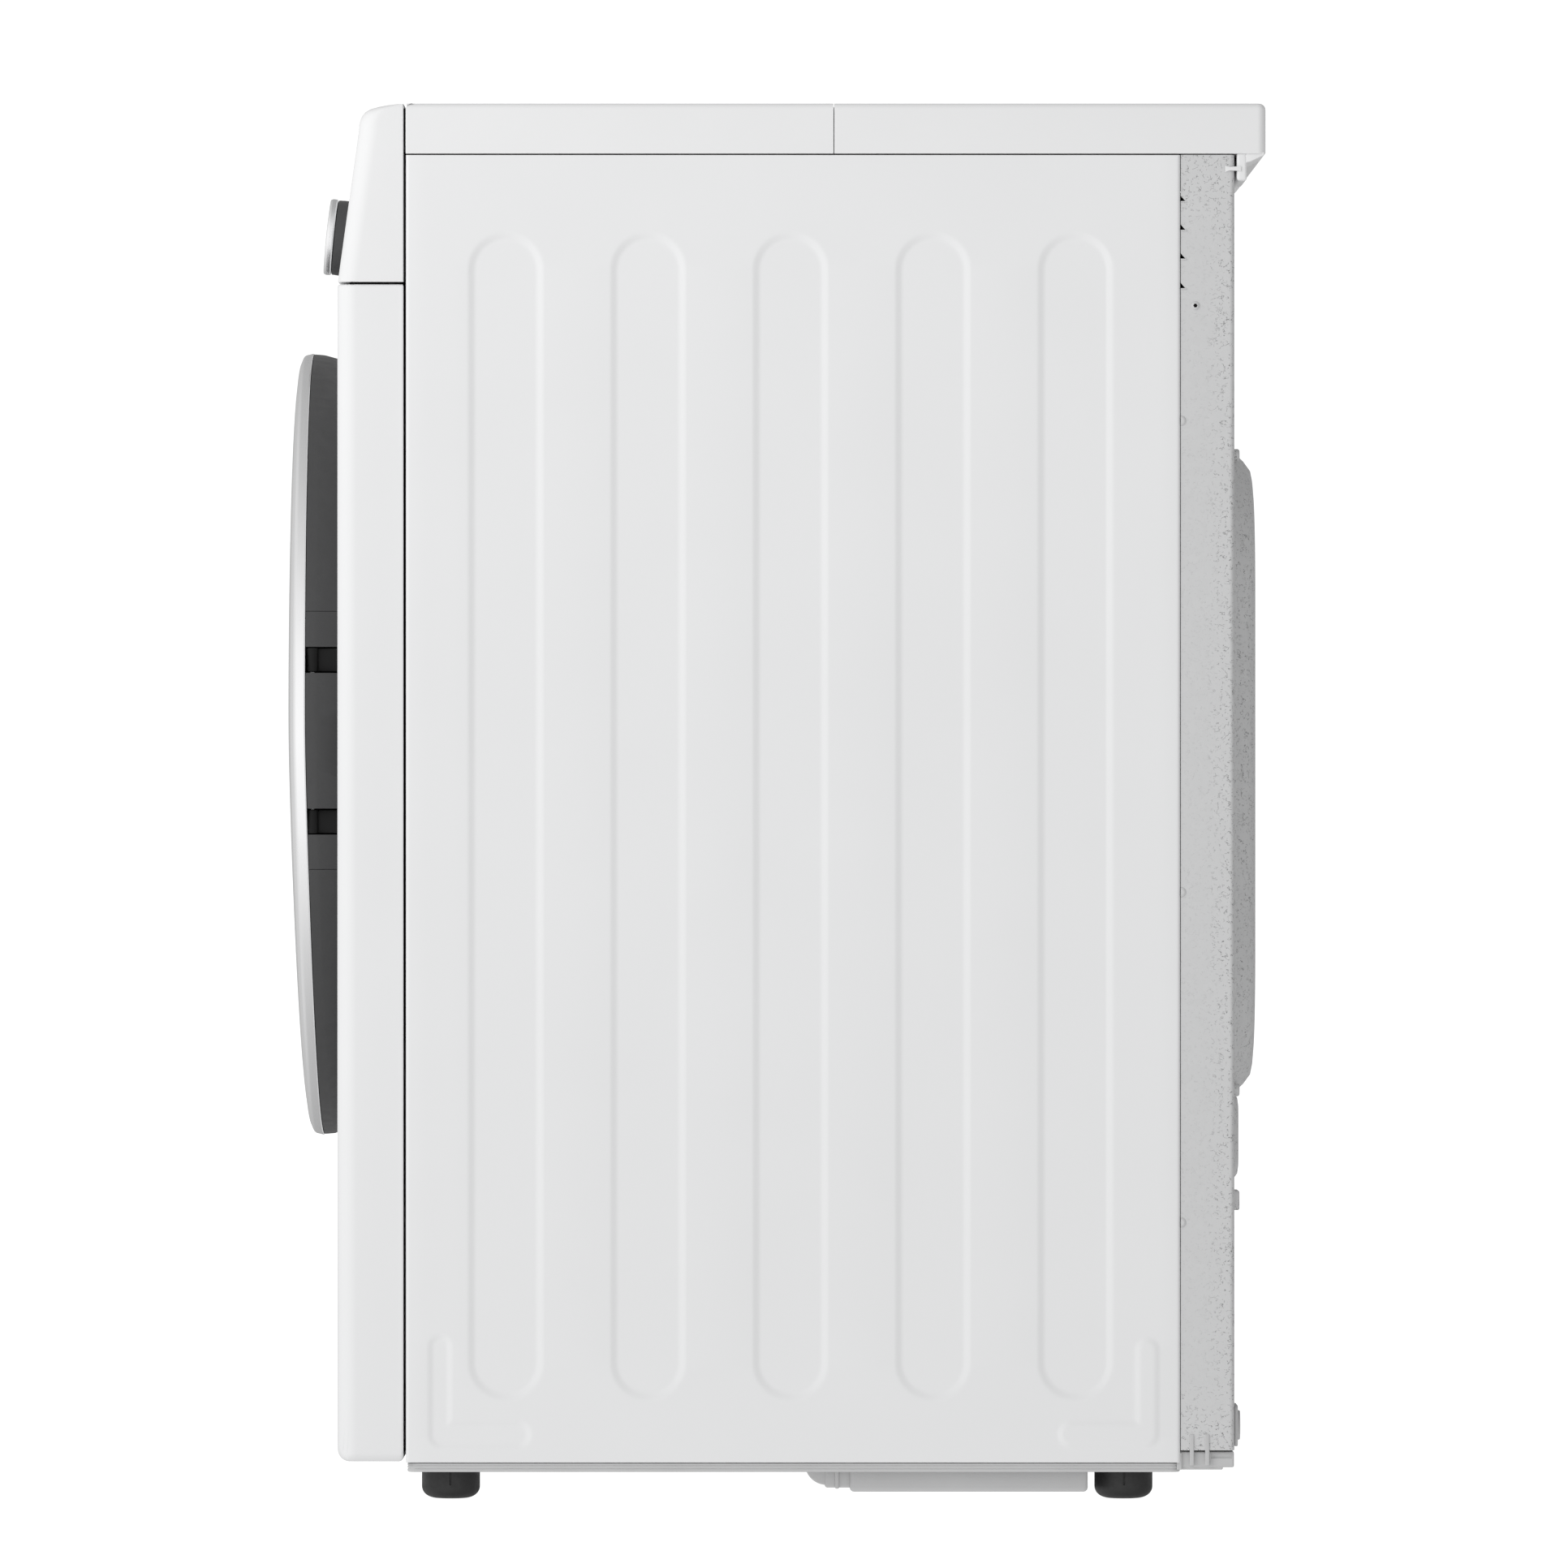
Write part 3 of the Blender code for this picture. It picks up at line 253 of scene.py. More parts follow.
def rod(name, x, z, radius, front, back, finish=None, edge=0.0005, steps=48):
    """A plain cylinder from front to back."""
    edge = min(edge, radius * 0.4)
    profile = [(0, -front), (radius, -front, edge), (radius, -back, edge), (0, -back)]
    return turned(name, rounded_path(profile, closed=False), about_axis(x, z), finish, steps)


def carve(target, tools, operation="DIFFERENCE", sharp=30.0):
    """Cuts tools out of a piece, or joins them to it, for good. The tools are used up."""
    for tool in tools:
        modifier = target.modifiers.new("carve", "BOOLEAN")
        modifier.operation = operation
        modifier.object = tool
        if tool.data.materials:
            modifier.material_mode = "TRANSFER"
    graph = bpy.context.evaluated_depsgraph_get()
    mesh = bpy.data.meshes.new_from_object(target.evaluated_get(graph))
    target.modifiers.clear()
    target.data = mesh
    mesh.shade_smooth()
    mesh.set_sharp_from_angle(angle=math.radians(sharp))
    for tool in tools:
        bpy.data.objects.remove(tool, do_unlink=True)
    return target


def merge(name, pieces):
    """Several meshes as one object, each keeping its own material."""
    base = pieces[0]
    graph = bpy.context.evaluated_depsgraph_get()
    graph.update()
    bm = bmesh.new()
    finishes = []
    for piece in pieces:
        start = len(bm.faces)
        own = list(piece.data.materials)
        finishes += [finish for finish in own if finish not in finishes]
        bm.from_mesh(piece.data)
        bm.faces.ensure_lookup_table()
        for face in bm.faces[start:]:
            face.material_index = finishes.index(own[face.material_index])
    mesh = bpy.data.meshes.new(name)
    bm.to_mesh(mesh)
    bm.free()
    for finish in finishes:
        mesh.materials.append(finish)
    base.data = mesh
    base.name = name
    for piece in pieces[1:]:
        bpy.data.objects.remove(piece, do_unlink=True)
    return base


def fit(piece, body, stands_for=()):
    """Rides a piece on its body, and hides the CAD nodes that it stands for."""
    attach(piece, body)
    if stands_for:
        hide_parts(*([stands_for] if isinstance(stands_for, str) else stands_for))
    return piece


# ---- Materials
def map_range(tree, value, low, high, start, end):
    """Runs from low to high as the value goes from start to end."""
    node = tree.nodes.new("ShaderNodeMapRange")
    tree.links.new(value, node.inputs["Value"])
    for key, number in (("From Min", start), ("From Max", end), ("To Min", low), ("To Max", high)):
        node.inputs[key].default_value = number
    return node.outputs["Result"]


def combine(tree, kind, operation, *values):
    """A maths node on values that are numbers or other nodes' outputs."""
    node = tree.nodes.new(kind)
    node.operation = operation
    for socket, value in zip(node.inputs, values):
        if isinstance(value, bpy.types.NodeSocket):
            tree.links.new(value, socket)
        else:
            socket.default_value = value
    return node.outputs[0]


class Finish:
    """A node material. Its textures are laid out in metres in the object's own space."""

    def __init__(self, name, colour, roughness, metallic=0.0, **inputs):
        self.made = bpy.data.materials.new(name)
        self.made.use_nodes = True
        self.tree = self.made.node_tree
        self.nodes, self.links = self.tree.nodes, self.tree.links
        self.shader = self.nodes["Principled BSDF"]
        self.colour = colour
        self.place = self.nodes.new("ShaderNodeTexCoord").outputs["Object"]
        self.normal = None
        self.shader.inputs["Base Color"].default_value = (*colour, 1)
        self.shader.inputs["Roughness"].default_value = roughness
        self.shader.inputs["Metallic"].default_value = metallic
        for key, value in inputs.items():
            self.shader.inputs[key.replace("_", " ")].default_value = value

    def stretched(self, stretch):
        if stretch == (1, 1, 1):
            return self.place
        return combine(self.tree, "ShaderNodeVectorMath", "MULTIPLY", self.place, stretch)

    def noise(self, size, detail=3.0, stretch=(1, 1, 1), roughness=0.5):
        """Noise with lumps about this size, in metres."""
        node = self.nodes.new("ShaderNodeTexNoise")
        node.inputs["Scale"].default_value = 1 / size
        node.inputs["Detail"].default_value = detail
        node.inputs["Roughness"].default_value = roughness
        self.links.new(self.stretched(stretch), node.inputs["Vector"])
        return node.outputs["Fac"]

    def cells(self, size, feature="F1", output="Distance", stretch=(1, 1, 1)):
        node = self.nodes.new("ShaderNodeTexVoronoi")
        node.feature = feature
        node.inputs["Scale"].default_value = 1 / size
        self.links.new(self.stretched(stretch), node.inputs["Vector"])
        return node.outputs[output]

    def lines(self, pitch, direction="X"):
        """A sine wave along one axis, with this distance from crest to crest."""
        node = self.nodes.new("ShaderNodeTexWave")
        node.bands_direction = direction
        node.inputs["Scale"].default_value = math.pi / (10 * pitch)
        self.links.new(self.place, node.inputs["Vector"])
        return node.outputs["Fac"]

    def maths(self, operation, a, b):
        return combine(self.tree, "ShaderNodeMath", operation, a, b)

    def mapped(self, value, low, high, start=0.3, end=0.7):
        return map_range(self.tree, value, low, high, start, end)

    def tint(self, value, low, high, start=0.3, end=0.7):
        """Runs the colour from low to high times itself as the value goes from start to end."""
        node = self.nodes.new("ShaderNodeValToRGB")
        stops = node.color_ramp.elements
        for stop, position, share in zip(stops, (start, end), (low, high)):
            stop.position = position
            scale = share if isinstance(share, tuple) else (share,) * 3
            stop.color = (*(min(1.0, c * s) for c, s in zip(self.colour, scale)), 1)
        self.links.new(value, node.inputs["Fac"])
        self.links.new(node.outputs["Color"], self.shader.inputs["Base Color"])
        return self

    def gloss(self, value, low, high, start=0.3, end=0.7):
        self.links.new(self.mapped(value, low, high, start, end), self.shader.inputs["Roughness"])
        return self

    def bump(self, value, height, strength=1.0):
        """Raises the surface by up to this height, in metres, where the value is 1."""
        node = self.nodes.new("ShaderNodeBump")
        node.inputs["Distance"].default_value = height
        node.inputs["Strength"].default_value = strength
        self.links.new(value, node.inputs["Height"])
        if self.normal:
            self.links.new(self.normal, node.inputs["Normal"])
        self.normal = node.outputs["Normal"]
        self.links.new(self.normal, self.shader.inputs["Normal"])
        return self


def painted(name, colour, roughness, peel=0.00002):
    """Baked enamel on sheet steel: glossy, with the faint ripple of sprayed paint."""
    made = Finish(name, colour, roughness)
    made.tint(made.noise(0.11, 4), 0.985, 1.0)
    made.gloss(made.noise(0.05, 4), roughness - 0.03, roughness + 0.04)
    made.bump(made.noise(0.0022, 2), peel)
    made.bump(made.noise(0.00035, 1), peel / 5)
    return made.made


def moulded(name, colour, roughness, grain=0.00003, spread=0.03):
    """Moulded plastic with a spark-eroded grain and slight flow marks."""
    made = Finish(name, colour, roughness)
    made.tint(made.noise(0.05, 4), 1 - spread, 1.0)
    made.gloss(made.noise(0.008, 4), roughness - 0.05, roughness + 0.06)
    made.bump(made.cells(0.0006, "SMOOTH_F1"), grain)
    made.bump(made.noise(0.0002, 1), grain / 3)
    return made.made


def galvanised(name, colour=(0.635, 0.637, 0.64)):
    """Zinc-dipped sheet: a dull pale grey with faint spangles, and short dark wrinkles where the zinc ran,
    most of them near the ends and the rear edge."""
    made = Finish(name, colour, 0.55, 0.30)
    spangle = made.cells(0.0050, "F1", "Color")
    wrinkle = made.maths("SUBTRACT", made.noise(0.0032, 2, (1, 1, 1.5), 0.6), 0.5)
    wrinkle = made.maths("ABSOLUTE", wrinkle, 0.0)
    wrinkle = made.mapped(wrinkle, 1, 0, 0.004, 0.016)
    broken = made.maths("MULTIPLY", wrinkle, made.mapped(made.noise(0.0026, 2), 0, 1, 0.50, 0.56))
    axes = made.nodes.new("ShaderNodeSeparateXYZ")
    made.links.new(made.place, axes.inputs[0])
    rear = made.mapped(axes.outputs["Y"], 0, 1, behind(0.528), behind(0.541))
    top = made.mapped(axes.outputs["Z"], 0, 1, 0.772, 0.800)
    foot = made.mapped(axes.outputs["Z"], 1, 0, 0.045, 0.075)
    edge = made.maths("MAXIMUM", rear, made.maths("MAXIMUM", top, foot))
    dark = made.maths("MULTIPLY", broken, made.mapped(edge, 0.22, 1.0, 0, 1))
    made.tint(made.maths("SUBTRACT", made.mapped(spangle, 0.93, 1.0, 0, 1), dark), 0.25, 1.0, 0.0, 1.0)
    made.gloss(spangle, 0.50, 0.60, 0, 1)
    made.bump(made.maths("SUBTRACT", 1.0, dark), 0.00010)
    made.bump(made.noise(0.0007, 2), 0.00003)
    return made.made


def brushed(name, colour, roughness, stretch, mark=0.00001):
    """Metal with fine straight brush marks. The stretch is small along the marks."""
    made = Finish(name, colour, roughness, 1.0)
    marks = made.noise(0.0004, 2, stretch)
    made.tint(marks, 0.93, 1.03)
    made.gloss(made.noise(0.0006, 3, stretch), roughness - 0.05, roughness + 0.07)
    made.bump(marks, mark)
    return made.made


def glassy(name, colour, roughness, **inputs):
    """Glass or clear plastic, with the faintest wipe marks in its gloss."""
    made = Finish(name, colour, roughness, **inputs)
    made.gloss(made.noise(0.03, 4), roughness, roughness + 0.03)
    made.bump(made.noise(0.04, 1), 0.00001)
    return made.made


def rubbery(name, colour, roughness):
    made = Finish(name, colour, roughness)
    made.tint(made.noise(0.006, 4), 0.85, 1.15)
    made.gloss(made.noise(0.003, 3), roughness - 0.08, roughness + 0.1)
    made.bump(made.noise(0.0006, 3), 0.00004)
    return made.made


def less_shiny(material, level):
    """Sets how strongly a material reflects, which is 0.5 on the others."""
    material.node_tree.nodes["Principled BSDF"].inputs["Specular IOR Level"].default_value = level
    return material


WHITE = (0.800, 0.803, 0.808)
ENAMEL = painted("white_enamel", WHITE, 0.36)
WHITE_PLASTIC = moulded("white_plastic", (0.800, 0.802, 0.806), 0.46, 0.00001, 0.01)
LAMINATE = moulded("white_laminate", (0.81, 0.815, 0.82), 0.36, 0.00004, 0.02)
GREY_PLASTIC = moulded("grey_plastic", (0.36, 0.365, 0.37), 0.5)
BASE_PLASTIC = moulded("base_plastic", (0.555, 0.556, 0.558), 0.55, 0.00003, 0.05)
DARK_PLASTIC = moulded("dark_plastic", (0.052, 0.052, 0.053), 0.55, 0.00004)
SHADOW_BLACK = less_shiny(moulded("shadow_black", (0.004, 0.004, 0.004), 0.6, 0.00001, 0.2), 0.1)
RUBBER = rubbery("rubber", (0.035, 0.035, 0.036), 0.62)
FOOT_RUBBER = rubbery("foot_rubber", (0.012, 0.012, 0.012), 0.5)
ZINC = galvanised("galvanised_steel")
STAINLESS = brushed("stainless_steel", (0.60, 0.60, 0.59), 0.27, (0.04, 1, 0.04))
BLACK_STEEL = less_shiny(painted("black_steel", (0.006, 0.006, 0.006), 0.42), 0.2)
DARK_GLASS = glassy("dark_glass", (0.012, 0.013, 0.015), 0.04, Coat_Weight=0.3)
CLEAR_GLASS = glassy("clear_glass", (0.93, 0.96, 0.95), 0.02, Transmission_Weight=1.0, IOR=1.47)


def satin_chrome():
    """Plated trim: bright, smooth, with a soft haze."""
    made = Finish("bright_rim", (0.84, 0.84, 0.845), 0.26, 1.0)
    made.tint(made.noise(0.04, 3), 0.985, 1.0)
    made.gloss(made.noise(0.03, 4), 0.24, 0.28)
    made.bump(made.noise(0.03, 1), 0.000004)
    return made.made


def felt():
    made = Finish("felt", (0.33, 0.31, 0.28), 0.95, Sheen_Weight=0.4)
    made.tint(made.noise(0.0007, 5), 0.6, 1.2)
    made.bump(made.noise(0.0004, 4, (1, 0.3, 1)), 0.0004)
    return made.made


def fins():
    """Thin aluminium fins on edge, two millimetres apart, with painted shade in the dark lines between them.
    """
    made = Finish("aluminium_fins", (0.66, 0.67, 0.68), 0.34, 1.0)
    # The dark bands are painted shade in the gaps between the fins.
    made.tint(made.lines(0.002), 0.25, 1.0, 0.2, 0.6)
    made.gloss(made.noise(0.004, 3), 0.28, 0.42)
    made.bump(made.lines(0.002), 0.0006)
    return made.made


def circuit():
    made = Finish("circuit_board", (0.05, 0.22, 0.10), 0.4)
    made.tint(made.cells(0.004, "F1", "Distance"), 0.6, 1.3, 0.1, 0.5)
    made.gloss(made.noise(0.002, 3), 0.3, 0.5)
    made.bump(made.cells(0.003, "DISTANCE_TO_EDGE"), 0.0002)
    return made.made


def mesh_cloth():
    """A fine woven filter screen, half a millimetre from thread to thread, with painted shade in the openings
    between threads.
    """
    made = Finish("filter_mesh", (0.60, 0.64, 0.69), 0.55)
    weave = made.maths("MAXIMUM", made.lines(0.0005, "X"), made.lines(0.0005, "Z"))
    # The openings between threads are painted darker: painted shade seen through the screen.
    made.tint(weave, 0.25, 1.05, 0.55, 0.85)
    made.gloss(made.noise(0.002, 3), 0.45, 0.65)
    made.bump(weave, 0.00015)
    return made.made


CHROME, FELT, FINS, CIRCUIT, MESH = satin_chrome(), felt(), fins(), circuit(), mesh_cloth()
FILTER_PLASTIC = moulded("filter_plastic", (0.42, 0.47, 0.53), 0.45)
PRINT_GREY = moulded("printed_grey", (0.16, 0.165, 0.17), 0.5, 0.00001)
LENS = glassy("lamp_lens", (0.90, 0.91, 0.88), 0.12, Transmission_Weight=0.4)


# ---- Side panels: thin sheet with rolled edges, pressed ribs, and an L-shaped pressing in each lower corner
SKIN = 0.0012
QUARTER_TURN = [math.radians(15 * k) for k in range(7)]
RIB_RADIUS, RIB_LOW, RIB_HIGH, RIB_SINK, RIB_WALL = 0.0234, 0.0608, 0.7719, 0.0013, 0.0050
RIB_DEPTHS = [0.1027 + 0.0866 * i for i in range(5)]
L_RISE, L_WALL = 0.0009, 0.0040
# Each L is two bars with round ends: the depth and height of their ends, and their radius.
FRONT_L = [((0.0627, 0.0402), (0.0627, 0.0938), 0.0079), ((0.0640, 0.0402), (0.1098, 0.0402), 0.0091)]
REAR_L = [((0.4930, 0.0405), (0.4930, 0.0917), 0.0080), ((0.4921, 0.0405), (0.4467, 0.0405), 0.0089)]
SIDE_LOW, SIDE_HIGH = LOW["side_panel_right"].z, HIGH["side_panel_right"].z - 0.0004
SIDE_FRONT, SIDE_BACK = depth_of(LOW["side_panel_right"].y), depth_of(HIGH["side_panel_right"].y)


def quarter(radius, distance):
    """How far a round edge of this radius has drawn back, this far from its face."""
    if distance >= radius:
        return 0.0
    return radius - math.sqrt(max(0.0, radius**2 - (radius - distance) ** 2))


def inside_bar(d, z, bar):
    """How far points lie inside a bar with round ends."""
    (d0, z0), (d1, z1), radius = bar
    length2 = (d1 - d0) ** 2 + (z1 - z0) ** 2
    t = np.clip(((d - d0) * (d1 - d0) + (z - z0) * (z1 - z0)) / length2, 0, 1)
    return radius - np.hypot(d - d0 - t * (d1 - d0), z - z0 - t * (z1 - z0))


def pressed(depth_inside, wall, sink):
    """An even ramp down from a pressing's outline, with its two bends eased."""
    ease = 0.18
    t = np.clip(depth_inside / wall, 0, 1)
    first, last = t * t / (2 * ease), 1 - ease - (1 - t) ** 2 / (2 * ease)
    ramp = np.where(t < ease, first, np.where(t > 1 - ease, last, t - ease / 2))
    return sink * ramp / (1 - ease)


def side_sink(d, z):
    """How far the side panel's face is sunk at points of these depths and heights."""
    sunk = np.zeros_like(d)
    for rib in RIB_DEPTHS:
        bar = ((rib, RIB_LOW + RIB_RADIUS), (rib, RIB_HIGH - RIB_RADIUS), RIB_RADIUS)
        sunk = np.maximum(sunk, pressed(inside_bar(d, z, bar), RIB_WALL, RIB_SINK))
    for bars, rise in ((FRONT_L, 1), (REAR_L, -1)):
        deepest = np.maximum(inside_bar(d, z, bars[0]), inside_bar(d, z, bars[1]))
        sunk += rise * pressed(deepest, L_WALL, L_RISE)
    return sunk


def spaced(low, high, fine):
    """Values from low to high, a fine step apart inside the given stretches and with nothing between them."""
    values = [low, high]
    for start, end, step in fine:
        values += list(np.linspace(start, end, max(2, round((end - start) / step) + 1)))
    values = sorted(v for v in values if low <= v <= high)
    kept = [values[0]]
    for value in values[1:]:
        if value - kept[-1] > 0.00015:
            kept.append(value)
    return kept


def side_panel(name, side):
    bend, flange, edge = 0.0022, 0.0130, 0.0008
    fine = [(d - RIB_RADIUS - 0.0005, d + RIB_RADIUS + 0.0005, 0.0011) for d in RIB_DEPTHS]
    fine += [(0.0543, 0.0712, 0.0011), (0.4370, 0.5015, 0.0013)]
    across = spaced(SIDE_FRONT + bend, SIDE_BACK - bend, fine)
    up = spaced(SIDE_LOW, SIDE_HIGH, [
        (0.0305, 0.0885, 0.0012), (0.0885, 0.1025, 0.0012),
        (RIB_HIGH - RIB_RADIUS - 0.001, RIB_HIGH + 0.0005, 0.0011), (0.20, 0.70, 0.10),
        (SIDE_HIGH - edge, SIDE_HIGH, 0.0002), (SIDE_LOW, SIDE_LOW + edge, 0.0002),
    ])
    front = [(HALF - flange, SIDE_FRONT)]
    for a in QUARTER_TURN:
        front.append((HALF - bend + bend * math.sin(a), SIDE_FRONT + bend - bend * math.cos(a)))
    back = [(x, SIDE_FRONT + SIDE_BACK - d) for x, d in reversed(front)]
    plan = np.array(front + [(HALF, d) for d in across[1:-1]] + back)
    rows = []
    for z in up:
        x, d = plan[:, 0].copy(), plan[:, 1].copy()
        flat = x > HALF - 1e-6
        x[flat] -= side_sink(d[flat], np.full(flat.sum(), z))
        x -= quarter(edge, min(SIDE_HIGH - z, z - SIDE_LOW))
        rows.append([(side * a, behind(b), z) for a, b in zip(x, d)])
    verts = [v for row in rows for v in row]
    sheet = shape(name, verts, rows_of_quads(rows, closed_ring=False), ENAMEL, sharp=50)
    thick = sheet.modifiers.new("thickness", "SOLIDIFY")
    thick.thickness = SKIN
    thick.offset = 1.0
    outward = sum(face.normal.x * side * face.area for face in sheet.data.polygons)
    if outward > 0:
        thick.offset = -1.0
    carve(sheet, [], sharp=50)
    return fit(sheet, "cabinet", name)


side_panel("side_panel_left", -1)
side_panel("side_panel_right", 1)


# ---- Front panel
HINGE_X, HINGE_PROUD, KNUCKLES = 0.2345, 0.0170, (0.4130, 0.5120)


def panel_ring(depth, total, wall, side_x, low, high):
    """The front panel's outline at one depth: a rectangle whose sides draw back at their own round edges."""
    front = depth - wall
    x = side_x - wall - max(quarter(0.012 - wall, front), quarter(0.0008, total - depth))
    z0 = low + wall + max(quarter(0.0075 - wall, front), quarter(0.0030, total - depth))
    z1 = high - wall - max(quarter(max(0.0013 - wall, 0.0002), front), quarter(0.0008, total - depth))
    return rounded_path([(-x, z0, 0.006), (x, z0, 0.006), (x, z1, 0.0022), (-x, z1, 0.0022)], finest=15)


def finer(ring):
    """The same outline with its long straight edges split."""
    points = []
    for (xa, za), (xb, zb) in zip(ring, ring[1:] + ring[:1]):
        steps = 40 if math.hypot(xb - xa, zb - za) > 0.2 else 1
        points += [(xa + (xb - xa) * k / steps, za + (zb - za) * k / steps) for k in range(steps)]
    return points


def front_panel():
    low, high = LOW["front_panel"], HIGH["front_panel"]
    total, wall, hole = high.y - low.y, 0.0016, 0.1862
    depths = [0.0, 0.0002, 0.0005, 0.0009, 0.0013, 0.0019, 0.0027, 0.0037, 0.0049, 0.0062, 0.0075, 0.0090]
    depths += [0.0105, 0.0120, 0.025]
    depths += [total - rest for rest in (0.003, 0.0022, 0.0014, 0.0008, 0.0004, 0.0001, 0.0)]
    outer = [(d, finer(panel_ring(d, total, 0.0, high.x, low.z, high.z))) for d in reversed(depths)]
    inner = [wall + d * (1 - wall / total) for d in depths]
    inner = [(d, finer(panel_ring(d, total, wall, high.x, low.z, high.z))) for d in inner]
    rings = [[(x, behind(d), z) for x, z in ring] for d, ring in outer + inner]
    verts = [v for ring in rings for v in ring]
    size = len(rings[0])
    faces = [f for f in rows_of_quads(rings) if f[0] // size != len(outer) - 1]

    def join(a, b):
        """Faces between the rings of points that start at a and b."""
        return [(a + j, a + (j + 1) % size, b + (j + 1) % size, b + j) for j in range(size)]

    # The back rim joins the outer skin's first ring to the inner skin's last one.
    faces += join(0, (len(rings) - 1) * size)
    # Both skins run in to the round opening.
    start = len(verts)
    for ring_index in (len(outer) - 1, len(outer)):
        faces += join(ring_index * size, len(verts))
        for x, y, z in rings[ring_index]:
            reach = hole / math.hypot(x, z - AXIS_Z)
            verts.append((x * reach, y, AXIS_Z + (z - AXIS_Z) * reach))
    faces += join(start, start + size)
    panel = shape("front_panel_sheet", verts, faces, ENAMEL, sharp=25)
    slots = [block("latch_slot", *span(-0.2160, -0.2000, -0.01, 0.01, 0.4500, 0.4720), edge=0.001)]
    for z in KNUCKLES:
        slot = span(HINGE_X - 0.0055, HINGE_X - 0.0013, -0.01, 0.01, z - 0.0078, z + 0.0078)
        slots.append(block("arm_slot", *slot, edge=0.0005))
    carve(panel, slots, sharp=25)
    return fit(panel, "cabinet", "front_panel")


front_panel()


# ---- Top cover: a frame with round edges in two halves, and a board in it
TOP_LOW, TOP_HIGH = LOW["top_trim_front"].z, HIGH["top_trim_front"].z
TOP_FRONT, TOP_BACK = depth_of(LOW["top_trim_front"].y), depth_of(HIGH["top_trim_rear"].y)
SEAM = depth_of(LOW["top_trim_rear"].y)


def cover_frame(name, front, back):
    """The part of the cover's frame that lies between two depths."""
    inside, foot, edge, corner, low = HALF - 0.026, 0.0005, 0.0040, 0.0050, TOP_LOW + 0.0001
    hole = rectangle(-inside, behind(0.0700), inside, behind(0.5320), 0.003)
    y0, y1 = behind(TOP_FRONT + 0.0006), behind(TOP_BACK)
    outline = rounded_path([(-HALF, y0, 0.0005), (HALF, y0, 0.0005), (HALF, y1, corner), (-HALF, y1, corner)])
    levels = [(foot * (1 - math.sin(a)), low + foot * (1 - math.cos(a))) for a in QUARTER_TURN]
    for a in QUARTER_TURN:
        drawn = 1 - math.cos(a)
        levels.append((edge * drawn, TOP_HIGH - edge * (1 - math.sin(a)), 0.0008 * drawn))
    made = stacked(name, [outline, hole], levels, WHITE_PLASTIC, sharp=25)
    kept = block("kept", (-0.4, behind(front), 0.75), (0.4, behind(back), 0.95), edge=0.0004)
    return carve(made, [kept], "INTERSECT", sharp=25)


def cover_hook(side):
    """A tab under the cover's rear overhang, with a gusset behind it and a prong at its outer end."""
    x0, x1 = on_side(side, 0.200, 0.2990)
    tab = block("tab", *span(x0, x1, 0.5474, 0.5536, 0.8030, 0.8205), WHITE_PLASTIC, 0.0018)
    gusset = [(0.5530, 0.8205), (0.5640, 0.8205), (0.5640, 0.8186), (0.5556, 0.8146), (0.5530, 0.8140)]
    gusset = sideways("gusset", gusset, x0, x1, WHITE_PLASTIC, 0.0003)
    prong = [
        (0.5500, 0.8088), (0.5500, 0.8118), (0.5430, 0.8114), (0.5403, 0.8122), (0.5403, 0.8082),
        (0.5430, 0.8092),
    ]
    prong = sideways("prong", prong, *on_side(side, 0.2988, 0.2998), WHITE_PLASTIC, 0.0003)
    return [tab, gusset, prong]


def top_cover():
    front = cover_frame("top_frame_front", TOP_FRONT - 0.01, SEAM - 0.0005)
    fit(front, "cabinet", "top_trim_front")
    rear = cover_frame("top_frame_rear", SEAM, TOP_BACK + 0.01)
    rear = merge("top_frame_rear", [rear, *cover_hook(-1), *cover_hook(1)])
    fit(rear, "cabinet", "top_trim_rear")
    board = block("top_board_panel", LOW["top_board"], HIGH["top_board"], LAMINATE, 0.0010)
    fit(board, "cabinet", "top_board")


def gap_strips():
    """Near-black strips in the joints between the fascia, the panels and the cover: painted shade in the
    gaps.
    """
    x = HALF - 0.0030
    extents = [(-x, x, 0.0407, 0.0416, 0.8200, 0.8470), (-x, x, 0.0080, 0.0400, 0.7402, 0.7412)]
    extents += [(*on_side(side, x - 0.003, x), 0.0405, 0.0417, 0.7414, 0.8190) for side in (-1, 1)]
    strips = [block("strip", *span(*extent), SHADOW_BLACK, 0.0002) for extent in extents]
    fit(merge("gap_foam_strips", strips), "cabinet")


top_cover()
gap_strips()


# ---- Control fascia: a shell whose face leans back, with its window, printed marks and buttons
SLOPE, SLOPE_FOOT = math.radians(7.9), 0.7434
KNOB_Z = 0.7775
BUTTON_X, BUTTON_RADIUS, BUTTON_Z = (0.2350, 0.2680), 0.0075, 0.7850
WINDOW_X, WINDOW_UP = (0.0500, 0.2050), (0.7650 - BUTTON_Z, 0.8180 - BUTTON_Z)
GAP = 0.0003  # round the tank's front and the window
FASCIA_TOP_CURVE = [  # height, and how far behind the front panel's face
    (0.8340, 0.0127), (0.8375, 0.0132), (0.8405, 0.0140), (0.8432, 0.0153), (0.8453, 0.0172),
    (0.8470, 0.0203), (0.8483, 0.0250), (0.8492, 0.0310), (0.8497, 0.0360),
]


def slope_depth(z, at_foot=0.0005):
    """How far behind the front panel's face a plane lies that leans back as the fascia does."""
    return (z - SLOPE_FOOT) * math.tan(SLOPE) + at_foot


def on_slope(x, z, lean=SLOPE):
    """A place on the fascia's face: outlines there are (X, up the slope) and +Z points out."""
    return at(x, slope_depth(z), z) @ Matrix.Rotation(-lean, 4, "X") @ TURN["-Y"]


def fascia_front(z):
    """How far the fascia's face lies behind the front panel's, at this height."""
    if z <= FASCIA_TOP_CURVE[0][0]:
        return max(0.0, slope_depth(z))
    heights, depths = zip(*FASCIA_TOP_CURVE)
    return float(np.interp(z, heights, depths))


